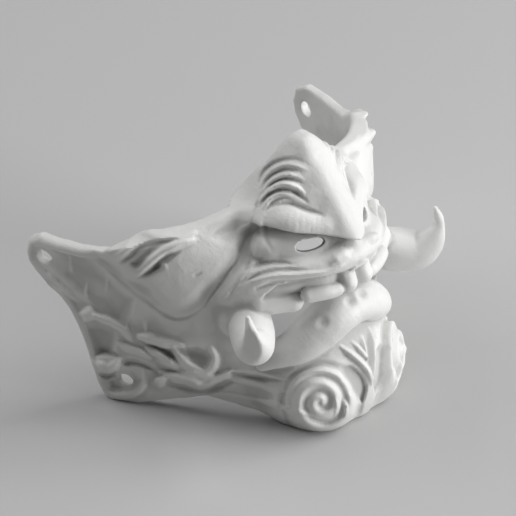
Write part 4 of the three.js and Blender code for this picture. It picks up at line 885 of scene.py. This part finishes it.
class MASK_OT_stage(bpy.types.Operator):
    """Set up the floor, the light and the camera"""
    bl_idname = "mask.stage"
    bl_label = "Set up the stage"

    def execute(self, context):
        """Makes the floor, the sky, the lights and the camera."""
        settings = context.scene.mask_stage
        self.lay_floor(context, settings)
        world = bpy.data.worlds.new("studio")
        world.use_nodes = True
        world.node_tree.nodes["Background"].inputs["Color"].default_value = (1, 1, 1, 1)
        world.node_tree.nodes["Background"].inputs["Strength"].default_value = settings.sky_strength
        context.scene.world = world
        context.scene.view_settings.view_transform = "Standard"
        for name, where in LIGHTS.items():
            self.hang_light(context, name, where, getattr(settings, name + "_power"))
        self.place_camera(context)
        return {"FINISHED"}

    @staticmethod
    def lay_floor(context, settings):
        """A wide pale floor."""
        half = FLOOR["half_width"]
        mesh = bpy.data.meshes.new("floor")
        corners = [(-half, -half, 0), (half, -half, 0), (half, half, 0), (-half, half, 0)]
        mesh.from_pydata(corners, [], [(0, 1, 2, 3)])
        floor = bpy.data.objects.new("floor", mesh)
        context.scene.collection.objects.link(floor)
        paint = bpy.data.materials.new("floor_paint")
        paint.use_nodes = True
        shader = paint.node_tree.nodes["Principled BSDF"]
        shader.inputs["Base Color"].default_value = (*settings.floor_colour, 1)
        shader.inputs["Roughness"].default_value = FLOOR["roughness"]
        mesh.materials.append(paint)

    @staticmethod
    def hang_light(context, name, where, power):
        """A square soft light aimed at the mask."""
        place = where["away"] * direction(where["azimuth"], where["height"])
        light = bpy.data.lights.new(name, "AREA")
        light.size = where["size"]
        light.energy = power
        lamp = bpy.data.objects.new(name, light)
        lamp.location = place
        lamp.rotation_euler = (-place).to_track_quat("-Z", "Y").to_euler()
        context.scene.collection.objects.link(lamp)

    @staticmethod
    def place_camera(context):
        """A long lens that looks at the mask as the photograph does."""
        back = direction(VIEW_AZIMUTH, VIEW_HEIGHT)
        camera = bpy.data.cameras.new("camera")
        camera.sensor_width = SENSOR_MM
        camera.lens = PIXELS_PER_MM * VIEW_AWAY / MILLIMETRE * SENSOR_MM / PICTURE_WIDTH
        camera.clip_end = VIEW_END
        eye = bpy.data.objects.new("camera", camera)
        eye.location = Vector(VIEW_TARGET) * MILLIMETRE + back * VIEW_AWAY
        eye.rotation_euler = (-back).to_track_quat("-Z", "Y").to_euler()
        context.scene.collection.objects.link(eye)
        context.scene.camera = eye


class MASK_PT_panel(bpy.types.Panel):
    """Lists the mask's settings and the buttons that make it"""
    bl_label = "Samurai half mask"
    bl_idname = "MASK_PT_panel"
    bl_space_type = "VIEW_3D"
    bl_region_type = "UI"
    bl_category = "Mask"

    def draw(self, context):
        """Draws the settings and the buttons."""
        for settings, operator in (
            (context.scene.mask_settings, MASK_OT_sculpt.bl_idname),
            (context.scene.mask_stage, MASK_OT_stage.bl_idname),
        ):
            for name in settings.__annotations__:
                self.layout.prop(settings, name)
            self.layout.operator(operator)


CLASSES = (MaskSettings, StageSettings, MASK_OT_sculpt, MASK_OT_stage, MASK_PT_panel)


def register():
    """Makes the classes and the settings known to Blender."""
    for entry in CLASSES:
        bpy.utils.register_class(entry)
    bpy.types.Scene.mask_settings = bpy.props.PointerProperty(type=MaskSettings)
    bpy.types.Scene.mask_stage = bpy.props.PointerProperty(type=StageSettings)


def unregister():
    """Takes the settings and the classes away again."""
    del bpy.types.Scene.mask_stage
    del bpy.types.Scene.mask_settings
    for entry in reversed(CLASSES):
        bpy.utils.unregister_class(entry)


def main():
    """Builds the scene."""
    register()
    bpy.ops.mask.stage()
    bpy.ops.mask.sculpt()


if __name__ == "__main__":
    main()
